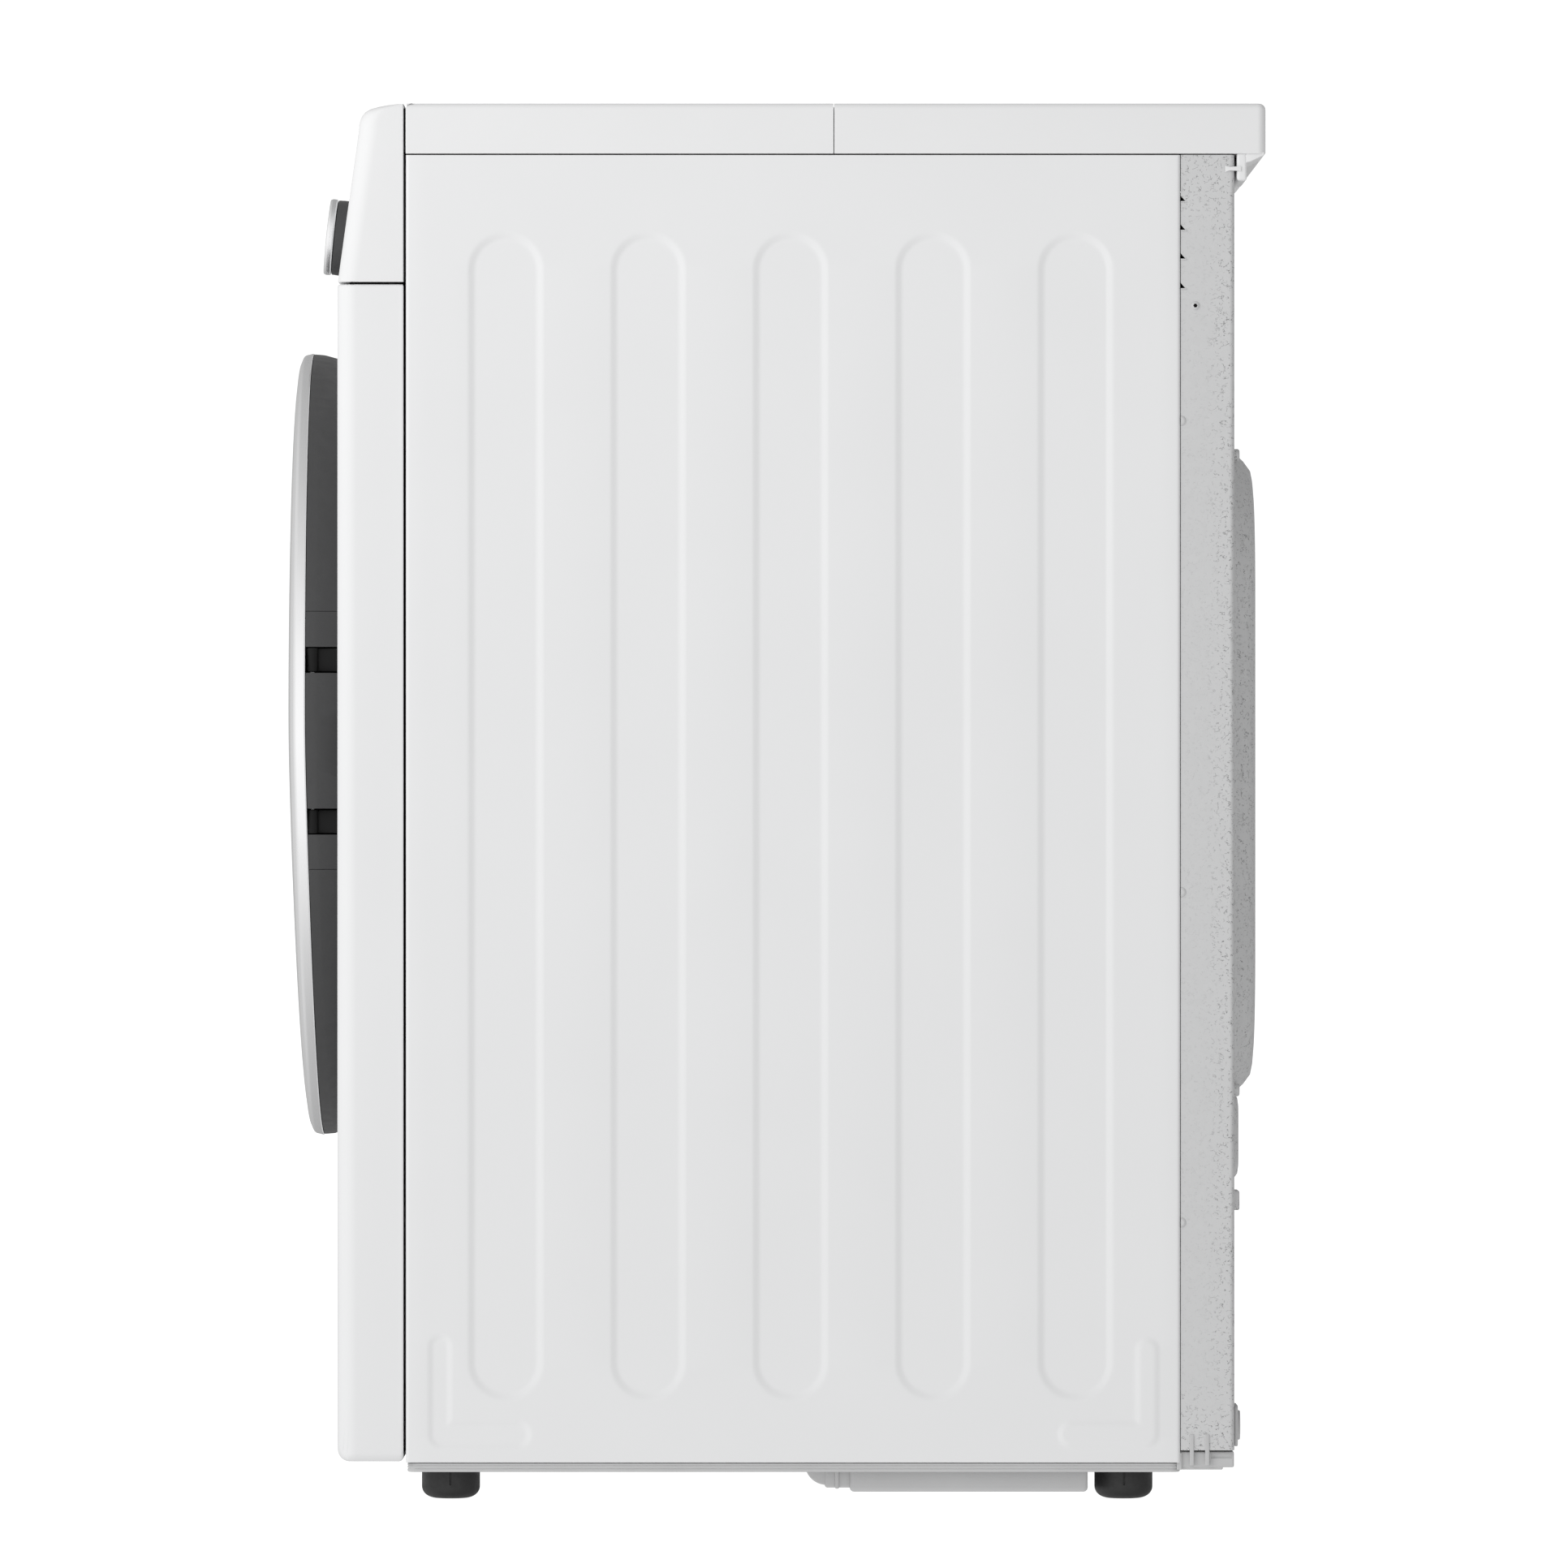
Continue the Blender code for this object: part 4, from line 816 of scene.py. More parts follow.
def fascia_body(name, wall, finish=None):
    """The fascia's outer shape or, with a wall's thickness, the hollow inside it, open at the back."""
    low, high = LOW["control_fascia"], HIGH["control_fascia"]
    back = depth_of(high.y) + (0.02 if wall else 0.0)
    x_max, edge, lip = high.x - wall, 0.0008, 0.0006
    heights = [low.z + wall + edge * (1 - math.cos(math.radians(a))) for a in (0, 30, 60, 90)]
    heights += list(np.linspace(low.z + 0.006, 0.8330 - wall, 10)) + [z - wall for z, _ in FASCIA_TOP_CURVE]
    rings = []
    for z in heights:
        foot = quarter(edge, z - low.z - wall)
        front = fascia_front(z + wall) + wall + foot
        x = x_max - foot - 0.6 * quarter(0.0025, high.z - wall - z)
        radius = min(0.0120 - wall, (back - front) * 0.8)
        left = [(-x + lip, behind(back)), (-x, behind(back - lip)), (-x, behind(front), radius)]
        right = [(-corner[0], *corner[1:]) for corner in reversed(left)]
        rings.append([(a, b, z) for a, b in rounded_path(left + right, closed=False)])
    verts = [v for ring in rings for v in ring]
    size = len(rings[0])
    faces = rows_of_quads(rings) + [tuple(range(size)), tuple(range(len(verts) - size, len(verts)))]
    return shape(name, verts, faces, finish, sharp=28)


def cut_through(name, outline, place):
    """A cutter that runs right through the fascia's face."""
    return prism(name, outline, -0.03, 0.03, matrix=place)


def printed(name, outline, place):
    """A mark printed on a face, a fifth of a millimetre proud of it."""
    return prism(name, outline, -0.0002, 0.0002, PRINT_GREY, place)


def fascia():
    flat = on_slope(0, BUTTON_Z)
    body = fascia_body("fascia_shell", 0.0, WHITE_PLASTIC)
    tank_hole = rectangle(LOW["tank_front"].x - GAP, -0.0360, HIGH["tank_front"].x + GAP, 0.0360, 0.0040)
    window_hole = rectangle(WINDOW_X[0], WINDOW_UP[0], WINDOW_X[1], WINDOW_UP[1], 0.0030)
    tools = [
        fascia_body("fascia_hollow", 0.0025),
        cut_through("tank_hole", tank_hole, flat),
        cut_through("window_hole", window_hole, flat),
        cut_through("spindle_hole", circle(0, 0, 0.0045, 32), on_slope(0, KNOB_Z)),
    ]
    button_hole = circle(0, 0, BUTTON_RADIUS + 0.0004, 48)
    tools += [cut_through("button_hole", button_hole, on_slope(x, BUTTON_Z)) for x in BUTTON_X]
    carve(body, tools, sharp=28)
    fit(body, "cabinet", "control_fascia")


def display_window():
    (x0, x1), (up0, up1) = WINDOW_X, WINDOW_UP
    outline = rectangle(x0 + GAP, up0 + GAP, x1 - GAP, up1 - GAP, 0.0028)
    window = prism("display_glass", outline, -0.0025, -0.0002, DARK_GLASS, on_slope(0, BUTTON_Z), 0.0004)
    fit(window, "cabinet", "display_window")


def fascia_marks():
    """Tick marks round the knob, and a plain symbol over each button."""
    marks = []
    for i in range(15):
        length = 0.0040 if i % 7 else 0.0060
        where = on_slope(0, KNOB_Z) @ Matrix.Rotation(math.radians(-50 + 280 * i / 14), 4, "Z")
        marks.append(printed("tick", rectangle(0.0300, -0.0004, 0.0300 + length, 0.0004, 0.0003), where))
    power, start = (on_slope(x, BUTTON_Z + 0.0150) for x in BUTTON_X)
    marks.append(printed("power_ring", arc(0.0024, 125, 415, 24) + arc(0.0019, 415, 125, 24), power))
    marks.append(printed("power_bar", rectangle(-0.00025, 0.0008, 0.00025, 0.0029, 0.0001), power))
    marks.append(printed("start_mark", [(-0.0017, -0.0022), (0.0021, 0), (-0.0017, 0.0022)], start))
    fit(merge("fascia_marks", marks), "cabinet")


def buttons():
    r = BUTTON_RADIUS
    profile = rounded_path([
        (0, -0.0110), (0.0030, -0.0110, 0.0004), (0.0030, -0.0062), (r, -0.0062, 0.0003),
        (r, 0.0002, 0.0007), (r * 0.55, 0.0001, 0.004), (0, -0.0004),
    ], closed=False)
    for name, x in zip(("power_button", "start_button"), BUTTON_X):
        cap = turned(name + "_cap", profile, on_slope(x, BUTTON_Z), WHITE_PLASTIC, 64)
        fit(cap, name, name)


fascia()
display_window()
fascia_marks()
buttons()


# ---- Water tank in the fascia
def tank_front():
    """A drawer front, with a finger recess pressed into its face and a drop as the sign for water."""
    flat = on_slope(0, BUTTON_Z)
    x0, x1 = LOW["tank_front"].x, HIGH["tank_front"].x
    middle = (x0 + x1) / 2
    outline = rectangle(x0, -0.0357, x1, 0.0357, 0.0038)
    front = prism("tank_drawer_front", outline, -0.0030, 0.0, WHITE_PLASTIC, flat, 0.0008)
    recess = rectangle(middle - 0.040, 0.0100, middle + 0.040, 0.0290, 0.0060)
    carve(front, [prism("dish", recess, -0.0018, 0.004, WHITE_PLASTIC, flat, 0.0012)])
    drop = arc(0.0020, 150, 390, 20) + [(0, 0.0052)]
    mark = printed("drop", drop, flat @ Matrix.Translation((x0 + 0.016, 0.0, 0)))
    fit(merge("tank_drawer_front", [front, mark]), "water_tank", "tank_front")


def tank_side(shrink, top):
    """The vessel's outline from the side up to this height, drawn in by some amount below that."""
    low = LOW["tank_vessel"].z + shrink
    back = depth_of(HIGH["tank_vessel"].y) - shrink
    front_low, front_top = (slope_depth(z, 0.0045) + shrink for z in (low, top))
    corners = [(front_low, low), (back, low), (back, top), (front_top, top)]
    return rounded_path([(behind(d), z, 0.004) for d, z in corners])


def tank_vessel():
    low, high, wall, edge = LOW["tank_vessel"], HIGH["tank_vessel"], 0.002, 0.002
    vessel = prism("tank_body", tank_side(0, high.z), low.x, high.x, WHITE_PLASTIC, TURN["X"], edge)
    inside = tank_side(wall, high.z + 0.02)
    carve(vessel, [prism("inside", inside, low.x + wall, high.x - wall, matrix=TURN["X"], edge=edge)])
    lid = span(low.x + 0.001, high.x - 0.001, 0.0200, 0.1200, high.z - 0.0022, high.z)
    lid = block("lid", *lid, WHITE_PLASTIC, 0.0006)
    spout = rounded_path([(0.0060, 0), (0.0090, 0), (0.0090, 0.0016, 0.0005), (0.0060, 0.0016, 0.0005)])
    spout = turned("filler", spout, at((low.x + high.x) / 2, 0.100, high.z - 0.0018), GREY_PLASTIC, 48)
    fit(merge("tank_body", [vessel, lid, spout]), "water_tank", "tank_vessel")


tank_front()
tank_vessel()


# ---- Control knob
def knob():
    where = on_slope(0, KNOB_Z, math.radians(5.9))
    r = (HIGH["knob_bezel"].x - LOW["knob_bezel"].x) / 2
    skirt = rounded_path([
        (0, 0.0149), (r - 0.0005, 0.0149, 0.0004), (r - 0.0003, 0.0110, 0.003), (r - 0.0003, 0.0050, 0.003),
        (r - 0.0008, 0.0018, 0.0005), (0.0030, 0.0018, 0.0004), (0.0030, -0.0110, 0.0004), (0, -0.0110),
    ], closed=False)
    fit(turned("knob_skirt", skirt, where, DARK_PLASTIC, 96), "knob", "knob_base")
    cap = rounded_path([
        (0, 0.0195), (r - 0.0075, 0.0196, 0.003), (r - 0.0048, 0.0202, 0.0008), (r - 0.0006, 0.0200, 0.0010),
        (r, 0.0185, 0.0006), (r, 0.0162, 0.0004), (r - 0.0005, 0.0153, 0.0003), (0, 0.0153),
    ], closed=False, finest=6)
    cap = turned("knob_cap", cap, where, CHROME, 128)
    low, high = (-0.0008, r - 0.0090, 0.0192), (0.0008, r + 0.002, 0.0220)
    carve(cap, [block("pointer", low, high, edge=0.0003, matrix=where)])
    fit(cap, "knob", "knob_bezel")


knob()


# ---- Door: a bright rim round a dark pane, a dark ring behind it, and a clear bowl
DOOR_RADIUS, DOOR_BACK_RADIUS, DOOR_SEAM, DOOR_FRONT = 0.2450, 0.2408, 0.0212, 0.0320
GLASS_RADIUS, GRIP_X, GRIP_HALF = 0.1960, -0.2230, 0.0550
COVER_LOW, COVER_HIGH, NOTCH = LOW["hinge_cover"].z, HIGH["hinge_cover"].z, 0.0080
DOOR = about_axis()


def ring_section(name, *kept):
    """The dark ring behind the rim, or the piece of it that lies inside a box."""
    r, rb, seam = DOOR_RADIUS, DOOR_BACK_RADIUS, DOOR_SEAM - 0.0003
    profile = rounded_path([
        (r - 0.0004, seam, 0.0003), (r - 0.0009, 0.0150, 0.012), (rb - 0.0008, 0.0010, 0.0010),
        (0.1765, 0.0010, 0.0003), (0.1765, 0.0240, 0.0003), (0.1795, 0.0240, 0.0003),
        (0.1795, 0.0040, 0.001), (rb - 0.0020, 0.0040, 0.0005), (r - 0.0023, seam, 0.0003),
    ])
    ring = turned(name, profile, DOOR, DARK_PLASTIC, 288)
    return carve(ring, kept, "INTERSECT") if kept else ring


def lean_back(piece):
    """The lower half of the door's front leans back a little towards the panel, most at its foot."""
    for vertex in piece.data.vertices:
        drop, proud = AXIS_Z - vertex.co.z, -depth_of(vertex.co.y)
        shift = 0.0263 * (math.hypot(drop, 0.020) + drop) / 2 * min(1.0, max(0.0, proud / 0.015))
        # The seam between the bright rim and the dark ring bows forward towards the top and the foot.
        if proud > DOOR_SEAM:
            near_seam = (DOOR_FRONT - proud) / (DOOR_FRONT - DOOR_SEAM)
        else:
            near_seam = proud / DOOR_SEAM
        vertex.co.y += shift - 0.0013 * (drop / DOOR_RADIUS) ** 2 * max(0.0, near_seam)
    return piece


def door_rim():
    r, front = DOOR_RADIUS, DOOR_FRONT
    rim = rounded_path([
        (r - 0.0003, DOOR_SEAM, 0.0002), (r, DOOR_SEAM + 0.0008, 0.0006),
        (r - 0.0012, front - 0.0040, 0.0036), (r - 0.0070, front - 0.0014, 0.0080),
        (r - 0.0180, front, 0.0200), (0.2010, front - 0.0018, 0.0020),
        (GLASS_RADIUS + 0.0002, front - 0.0038, 0.0006), (GLASS_RADIUS, front - 0.0068, 0.0003),
        (0.2370, front - 0.0040, 0.001), (r - 0.0030, front - 0.0065, 0.002),
        (r - 0.0030, DOOR_SEAM, 0.0003),
    ], finest=6)
    fit(lean_back(turned("door_bright_rim", rim, DOOR, CHROME, 288)), "door", "door_rim")


def door_pane():
    """A pane that is a little thicker at its middle."""
    edge = GLASS_RADIUS - 0.0003
    crown = [(0.0280 * k, 0.0305 - 0.0025 * (0.0280 * k / edge) ** 2) for k in range(1, 7)]
    rim = [
        (edge - 0.0008, 0.0280), (edge - 0.0002, 0.0277), (edge, 0.0271), (edge, 0.0254),
        (edge - 0.0002, 0.0252),
    ]
    pane = turned("door_pane", [(0, 0.0305), *crown, *rim, (0, 0.0252)], DOOR, DARK_GLASS, 240)
    fit(lean_back(pane), "door", "door_glass")


def door_bowl():
    bowl = rounded_path([
        (0, -0.0700), (0.1480, -0.0700, 0.0060), (0.1722, -0.0040, 0.02), (0.1737, 0.0160, 0.0008),
        (0.1760, 0.0160, 0.0004), (0.1760, 0.0200, 0.0010), (0.1702, 0.0200, 0.0030),
        (0.1690, -0.0040, 0.02), (0.1455, -0.0670, 0.0040), (0, -0.0670),
    ], closed=False, finest=7)
    fit(turned("door_glass_bowl", bowl, DOOR, CLEAR_GLASS, 160), "door", "door_bowl")


def door_ring():
    back = ring_section("door_dark_ring")
    low, high = AXIS_Z - GRIP_HALF, AXIS_Z + GRIP_HALF
    cover = span(0.2120, 0.2600, -0.0240, 0.0020, COVER_LOW - 0.0003, COVER_HIGH + 0.0003)
    grip = span(-0.2600, -0.1500, -0.0260, 0.0020, low, high)
    carve(back, [block("cover_place", *cover, edge=0.0002), block("grip_place", *grip, edge=0.0002)])
    fit(lean_back(back), "door", "door_back_ring")


def door_grip():
    """The ring's piece on the side away from the hinge: it has a wall for the fingers and the hook's slot."""
    low, high = AXIS_Z - GRIP_HALF + 0.0003, AXIS_Z + GRIP_HALF - 0.0003
    kept = block("kept", *span(GRIP_X, -0.1500, -0.0260, 0.0020, low, high), edge=0.0003)
    grip = ring_section("door_finger_grip", kept)
    wall = span(GRIP_X, GRIP_X + 0.0020, -DOOR_SEAM + 0.0003, -0.0012, low, high)
    carve(grip, [block("finger_wall", *wall, DARK_PLASTIC, 0.0004)], "UNION")
    carve(grip, [block("hook_slot", *span(-0.2135, -0.2030, -0.0060, 0.0020, 0.4520, 0.4700), edge=0.0004)])
    fit(lean_back(grip), "door", "door_grip")


def hinge_cover():
    kept = block("kept", *span(0.2123, 0.2600, -0.0240, 0.0020, COVER_LOW, COVER_HIGH), edge=0.0004)
    cover = ring_section("hinge_cover_strip", kept)
    chamfer = [(0.2350, behind(0.0026)), (0.2600, behind(0.0026)), (0.2600, behind(-0.0224))]
    tools = [prism("chamfer", chamfer, 0.35, 0.58)]
    # The notch cutters carry their near-black finish onto the notches' walls: painted shade in the recesses
    # round the knuckles.
    for z in KNUCKLES:
        notch = span(0.2220, 0.2700, -0.0260, 0.0040, z - NOTCH, z + NOTCH)
        tools.append(block("notch", *notch, SHADOW_BLACK, 0.0004))
    carve(cover, tools)
    fit(lean_back(cover), "door", "hinge_cover")


def on_hinge(z):
    return at(HINGE_X, -HINGE_PROUD, z)


def hinge_leaf():
    low, high = LOW["hinge_leaf"], HIGH["hinge_leaf"]
    plate = span(low.x, HINGE_X, -0.0195, -0.0165, low.z + 0.002, high.z - 0.002)
    plate = block("leaf_plate", *plate, ZINC, 0.0006)
    half = (high.z - low.z) / 2
    tube = [(0.0019, -half), (0.0030, -half), (0.0030, half), (0.0019, half)]
    barrel = turned("barrel", tube, on_hinge((low.z + high.z) / 2), ZINC, 32)
    fit(merge("hinge_leaf_plate", [plate, barrel]), "door", "hinge_leaf")


def latch_hook():
    hook = block("hook", *span(-0.2118, -0.2048, -0.0062, 0.0120, 0.4535, 0.4685), ZINC, 0.0008)
    foot = block("hook_foot", *span(-0.2180, -0.1990, -0.0062, -0.0043, 0.4490, 0.4730), ZINC, 0.0006)
    barb = block("barb", *span(-0.2138, -0.2100, 0.0080, 0.0120, 0.4535, 0.4685), ZINC, 0.0012)
    fit(merge("latch_hook", [hook, foot, barb]), "door", "door_latch_hook")


def hinge_bracket():
    """A plate behind the front panel, with two arms through it to the knuckles, and the pin between them."""
    low, high = LOW["hinge_bracket"], HIGH["hinge_bracket"]
    half = 0.0073
    profile = [(0, -half), (0.0038, -half, 0.0005), (0.0038, half, 0.0005), (0, half)]
    profile = rounded_path(profile, closed=False)
    parts = [block("bracket", *span(0.2000, 0.2400, 0.0023, 0.0053, low.z, high.z), BLACK_STEEL, 0.0008)]
    for z in KNUCKLES:
        arm = span(HINGE_X - 0.0050, HINGE_X - 0.0018, -HINGE_PROUD, 0.0040, z - half, z + half)
        parts.append(block("arm", *arm, BLACK_STEEL, 0.0005))
        parts.append(turned("knuckle", profile, on_hinge(z), BLACK_STEEL, 48))
    reach = (KNUCKLES[1] - KNUCKLES[0]) / 2
    pin = [(0, -reach), (0.0015, -reach), (0.0015, reach), (0, reach)]
    parts.append(turned("pin", pin, on_hinge(sum(KNUCKLES) / 2), ZINC, 24))
    fit(merge("hinge_arms", parts), "cabinet", "hinge_bracket")


def door_seal():
    seal = rounded_path([
        (0.1855, -0.0019, 0.0008), (0.1855, -0.0455, 0.0004), (0.1825, -0.0455, 0.0004),
        (0.1825, -0.0120, 0.003), (0.1778, -0.0062, 0.0012), (0.1776, -0.0036, 0.0008),
        (0.1800, -0.0019, 0.0008),
    ])
    fit(turned("door_seal_ring", seal, DOOR, RUBBER, 160), "cabinet", "door_seal")


for make in (door_rim, door_pane, door_bowl, door_ring, door_grip, hinge_cover, hinge_leaf, latch_hook):
    make()
hinge_bracket()
door_seal()


# ---- Drum, with holes in its back, and what it is loaded through
DRUM_RADIUS, DRUM_WALL, DRUM_FRONT, DRUM_BACK = 0.2780, 0.0010, 0.1120, 0.5000


def pierced_ring(name, rings, finish, thickness, hole_radius):
    """Flat rings of nearly square cells, each with a round hole. A ring is (inner, outer radius, cells)."""
    verts, faces = [], []
    for inner, outer, cells in rings:
        for i in range(cells):
            a0, a1 = 2 * math.pi * i / cells, 2 * math.pi * (i + 1) / cells
            middle, r = (a0 + a1) / 2, (inner + outer) / 2
            centre = Vector((r * math.cos(middle), r * math.sin(middle)))
            border = []
            for k in range(16):
                side, t = divmod(k, 4)
                t /= 4
                across, out = (a1 - a0) * t, (outer - inner) * t
                corners = (a0 + across, inner), (a1, inner + out), (a1 - across, outer), (a0, outer - out)
                angle, radius = corners[side]
                border.append(Vector((radius * math.cos(angle), radius * math.sin(angle))))
            hole = [centre + (p - centre).normalized() * hole_radius for p in border]
            start = len(verts)
            verts += [(*p, 0) for p in border + hole] + [(*p, -thickness) for p in border + hole]
            for k in range(16):
                m = (k + 1) % 16
                for a, b in ((0, 16), (32, 48), (16, 48)):  # front, back, and the wall of the hole
                    faces.append((start + a + k, start + a + m, start + b + m, start + b + k))
    mesh_object = shape(name, verts, faces, finish)
    bm = bmesh.new()
    bm.from_mesh(mesh_object.data)
    bmesh.ops.remove_doubles(bm, verts=bm.verts, dist=0.00001)
    edges = [e for e in bm.edges if len(e.link_faces) == 1]
    inner_radius, outer_radius = rings[0][0], rings[-1][1]
    for radius in (inner_radius, outer_radius):
        rim = [e for e in edges if all(abs(v.co.xy.length - radius) < 0.0012 for v in e.verts)]
        if rim:
            bmesh.ops.bridge_loops(bm, edges=rim)
    bmesh.ops.recalc_face_normals(bm, faces=bm.faces)
    bm.to_mesh(mesh_object.data)
    bm.free()
    return mesh_object


def drum_shell():
    r, inside, mouth, lip = DRUM_RADIUS, DRUM_RADIUS - DRUM_WALL, 0.2050, 0.2050 + DRUM_WALL
    front, front_inside, back = -DRUM_FRONT, -DRUM_FRONT - DRUM_WALL, -DRUM_BACK
    shell = rounded_path([
        (r, front, 0.004), (r, -0.1400), (r, -0.1410), (r, back, 0.0003), (inside, back, 0.0003),
        (inside, front_inside, 0.003), (mouth, front_inside, 0.0020), (mouth, -0.1040, 0.0003),
        (lip, -0.1040, 0.0003), (lip, front, 0.0010),
    ])
    fit(turned("drum_cylinder", shell, DOOR, STAINLESS, 240), "drum", "drum_shell")


def drum_back():
    """A dished hub and a plain rim, with rings of holes between them."""
    edge = DRUM_RADIUS - DRUM_WALL - 0.0003
    hub = rounded_path([
        (0, -0.4850), (0.0700, -0.4850, 0.004), (0.0880, -0.4955, 0.003), (0.1150, -0.4964),
        (0.1150, -0.4974), (0.0880, -0.4969, 0.002), (0.0690, -0.4864, 0.003), (0, -0.4864),
    ], closed=False)
    rim = rounded_path([(0.2400, -0.4979), (edge, -0.4985, 0.0003), (edge, -0.4997), (0.2400, -0.4989)])
    parts = [turned("hub", hub, DOOR, STAINLESS, 160), turned("rim", rim, DOOR, STAINLESS, 200)]
    rings = [(0.1150 + 0.0125 * k, 0.1150 + 0.0125 * (k + 1), 60 + 6 * k) for k in range(10)]
    for k, row in enumerate(rings):
        parts.append(pierced_ring("holes", [row], STAINLESS, 0.0009, 0.0030))
        parts[-1].data.transform(about_axis(0, None, 0.49655 + 0.00014 * k))
    fit(merge("drum_rear_wall", parts), "drum", "drum_back")


def lifters():
    half = [(0.0300, 0.2735, 0.002), (0.0085, 0.2560, 0.012), (0.0062, 0.2240, 0.0062)]
    lift = rounded_path([(-x, up, r) for x, up, r in half] + half[::-1])
    for i in range(3):
        turn = Matrix.Rotation(math.radians(120 * i), 4, "Y")
        turn = Matrix.Translation((0, 0, AXIS_Z)) @ turn @ TURN["-Y"]
        back, front = -behind(0.470), -behind(0.150)
        bar = prism(f"drum_lifter_{i + 1}", lift, back, front, GREY_PLASTIC, turn, 0.004, steps=5)
        fit(bar, "drum", f"lifter_{i + 1}")


def front_drum_seal():
    seal = rectangle(0.2085, -0.1112, 0.2250, -0.1034, 0.002)
    fit(turned("felt_ring", seal, DOOR, FELT, 120), "cabinet", "front_drum_seal")


drum_shell()
drum_back()
lifters()
front_drum_seal()


# ---- Lint filter: two open-topped boxes of fine mesh in plastic frames
def filter_box(name, node, body):
    """Two faces of posts and rails, each with a screen set into it, joined by plain ends and a floor."""
    low, high = LOW[node], HIGH[node]
    outer = node == "lint_filter_outer"
    top, rail, thick = 0.2900, 0.0055, 0.0018 if outer else 0.0014
    width = (high.x - low.x - rail * 4) / 3
    parts = []
    for y0, y1 in ((low.y, low.y + thick), (high.y - thick, high.y)):
        face = rectangle(low.x, low.z, high.x, top, 0.003)
        holes = []
        for k in range(3):
            x = low.x + rail + k * (width + rail)
            holes.append(rectangle(x, low.z + rail, x + width, top - 2 * rail, 0.003))
        parts.append(prism("frame", face, -y1, -y0, FILTER_PLASTIC, TURN["-Y"], 0.0004, holes))
        middle = (y0 + y1) / 2
        screen = rectangle(low.x + 0.002, low.z + 0.002, high.x - 0.002, top - 0.004, 0.002)
        parts.append(prism("screen", screen, -middle - 0.0002, -middle + 0.0002, MESH, TURN["-Y"]))
    for x0, x1 in ((low.x, low.x + thick), (high.x - thick, high.x)):
        parts.append(block("end", (x0, low.y, low.z), (x1, high.y, top), FILTER_PLASTIC, 0.0005))
    parts.append(block("floor", low, (high.x, high.y, low.z + thick), FILTER_PLASTIC, 0.0005))
    if not outer:
        grip = rectangle(-0.030, low.y, 0.030, low.y + 0.0040, 0.0012)
        parts.append(prism("grip", grip, top - 0.012, high.z, FILTER_PLASTIC, edge=0.001))
    fit(merge(name, parts), body, node)


filter_box("outer_lint_box", "lint_filter_outer", "lint_filter")
filter_box("inner_lint_box", "lint_filter_inner", "inner_lint_filter")


# ---- A lamp that shines into the drum, in the throat's upper wall
def lamp():
    lens = rounded_path([
        (0, 0.0010), (0.0085, 0.0010, 0.0006), (0.0100, -0.0006, 0.0004), (0.0100, -0.0020), (0, -0.0020),
    ], closed=False)
    where = at(0, 0.0850, AXIS_Z + 0.1828) @ Matrix.Rotation(math.pi, 4, "X")
    fit(turned("drum_lamp_lens", lens, where, LENS, 48), "cabinet")


lamp()


# ---- Feet
FEET = ("foot_front_left", "foot_front_right", "foot_rear_left", "foot_rear_right")


def feet():
    """Each foot has a threaded stem, a round pad and four slots for a spanner."""
    for name in FEET:
        low, high = LOW[name], HIGH[name]
        x, y, r = (low.x + high.x) / 2, (low.y + high.y) / 2, (high.x - low.x) / 2
        flat, dome = r * 0.36, 0.0078
        profile = rounded_path([
            (0, high.z), (0.0036, high.z, 0.0006), (0.0040, 0.0400), (0.0040, 0.0168), (r, 0.0168, 0.0005),
            (r, dome),
        ], closed=False)
        for k in range(1, 16):
            angle = math.pi / 2 * k / 15
            profile.append((flat + (r - flat) * math.cos(angle) ** 0.8, dome * (1 - math.sin(angle) ** 0.9)))
        foot = turned(name + "_pad", profile + [(0, 0)], Matrix.Translation((x, y, 0)), FOOT_RUBBER, 96)
        slots = []
        for k in range(4):
            place = Matrix.Translation((x, y, 0)) @ Matrix.Rotation(math.pi / 2 * k, 4, "Z")
            slot = (r - 0.0010, -0.0006, 0.0085), (r + 0.002, 0.0006, 0.0200)
            slots.append(block("slot", *slot, edge=0.0003, matrix=place))
        carve(foot, slots)
        fit(foot, name, name)


feet()


# ---- Rear wall: a galvanised pan, whose returned edges show behind the side panels
REAR_FACE = 0.5460
LOUVRES = (0.7920, 0.7745, 0.7570, 0.7390)
BUMPS = (0.6570, 0.3702, 0.1693)
EDGE_X, EDGE_FRONT = HIGH["rear_panel"].x, depth_of(LOW["rear_panel"].y)


def outwards(side, depth, z):
    """The place of a turned shape on the rear wall's side edge: its own +Z points away from the machine."""
    flip = Matrix.Rotation(0 if side > 0 else math.pi, 4, "Y")
    return at(side * EDGE_X, depth, z) @ TURN["X"] @ flip


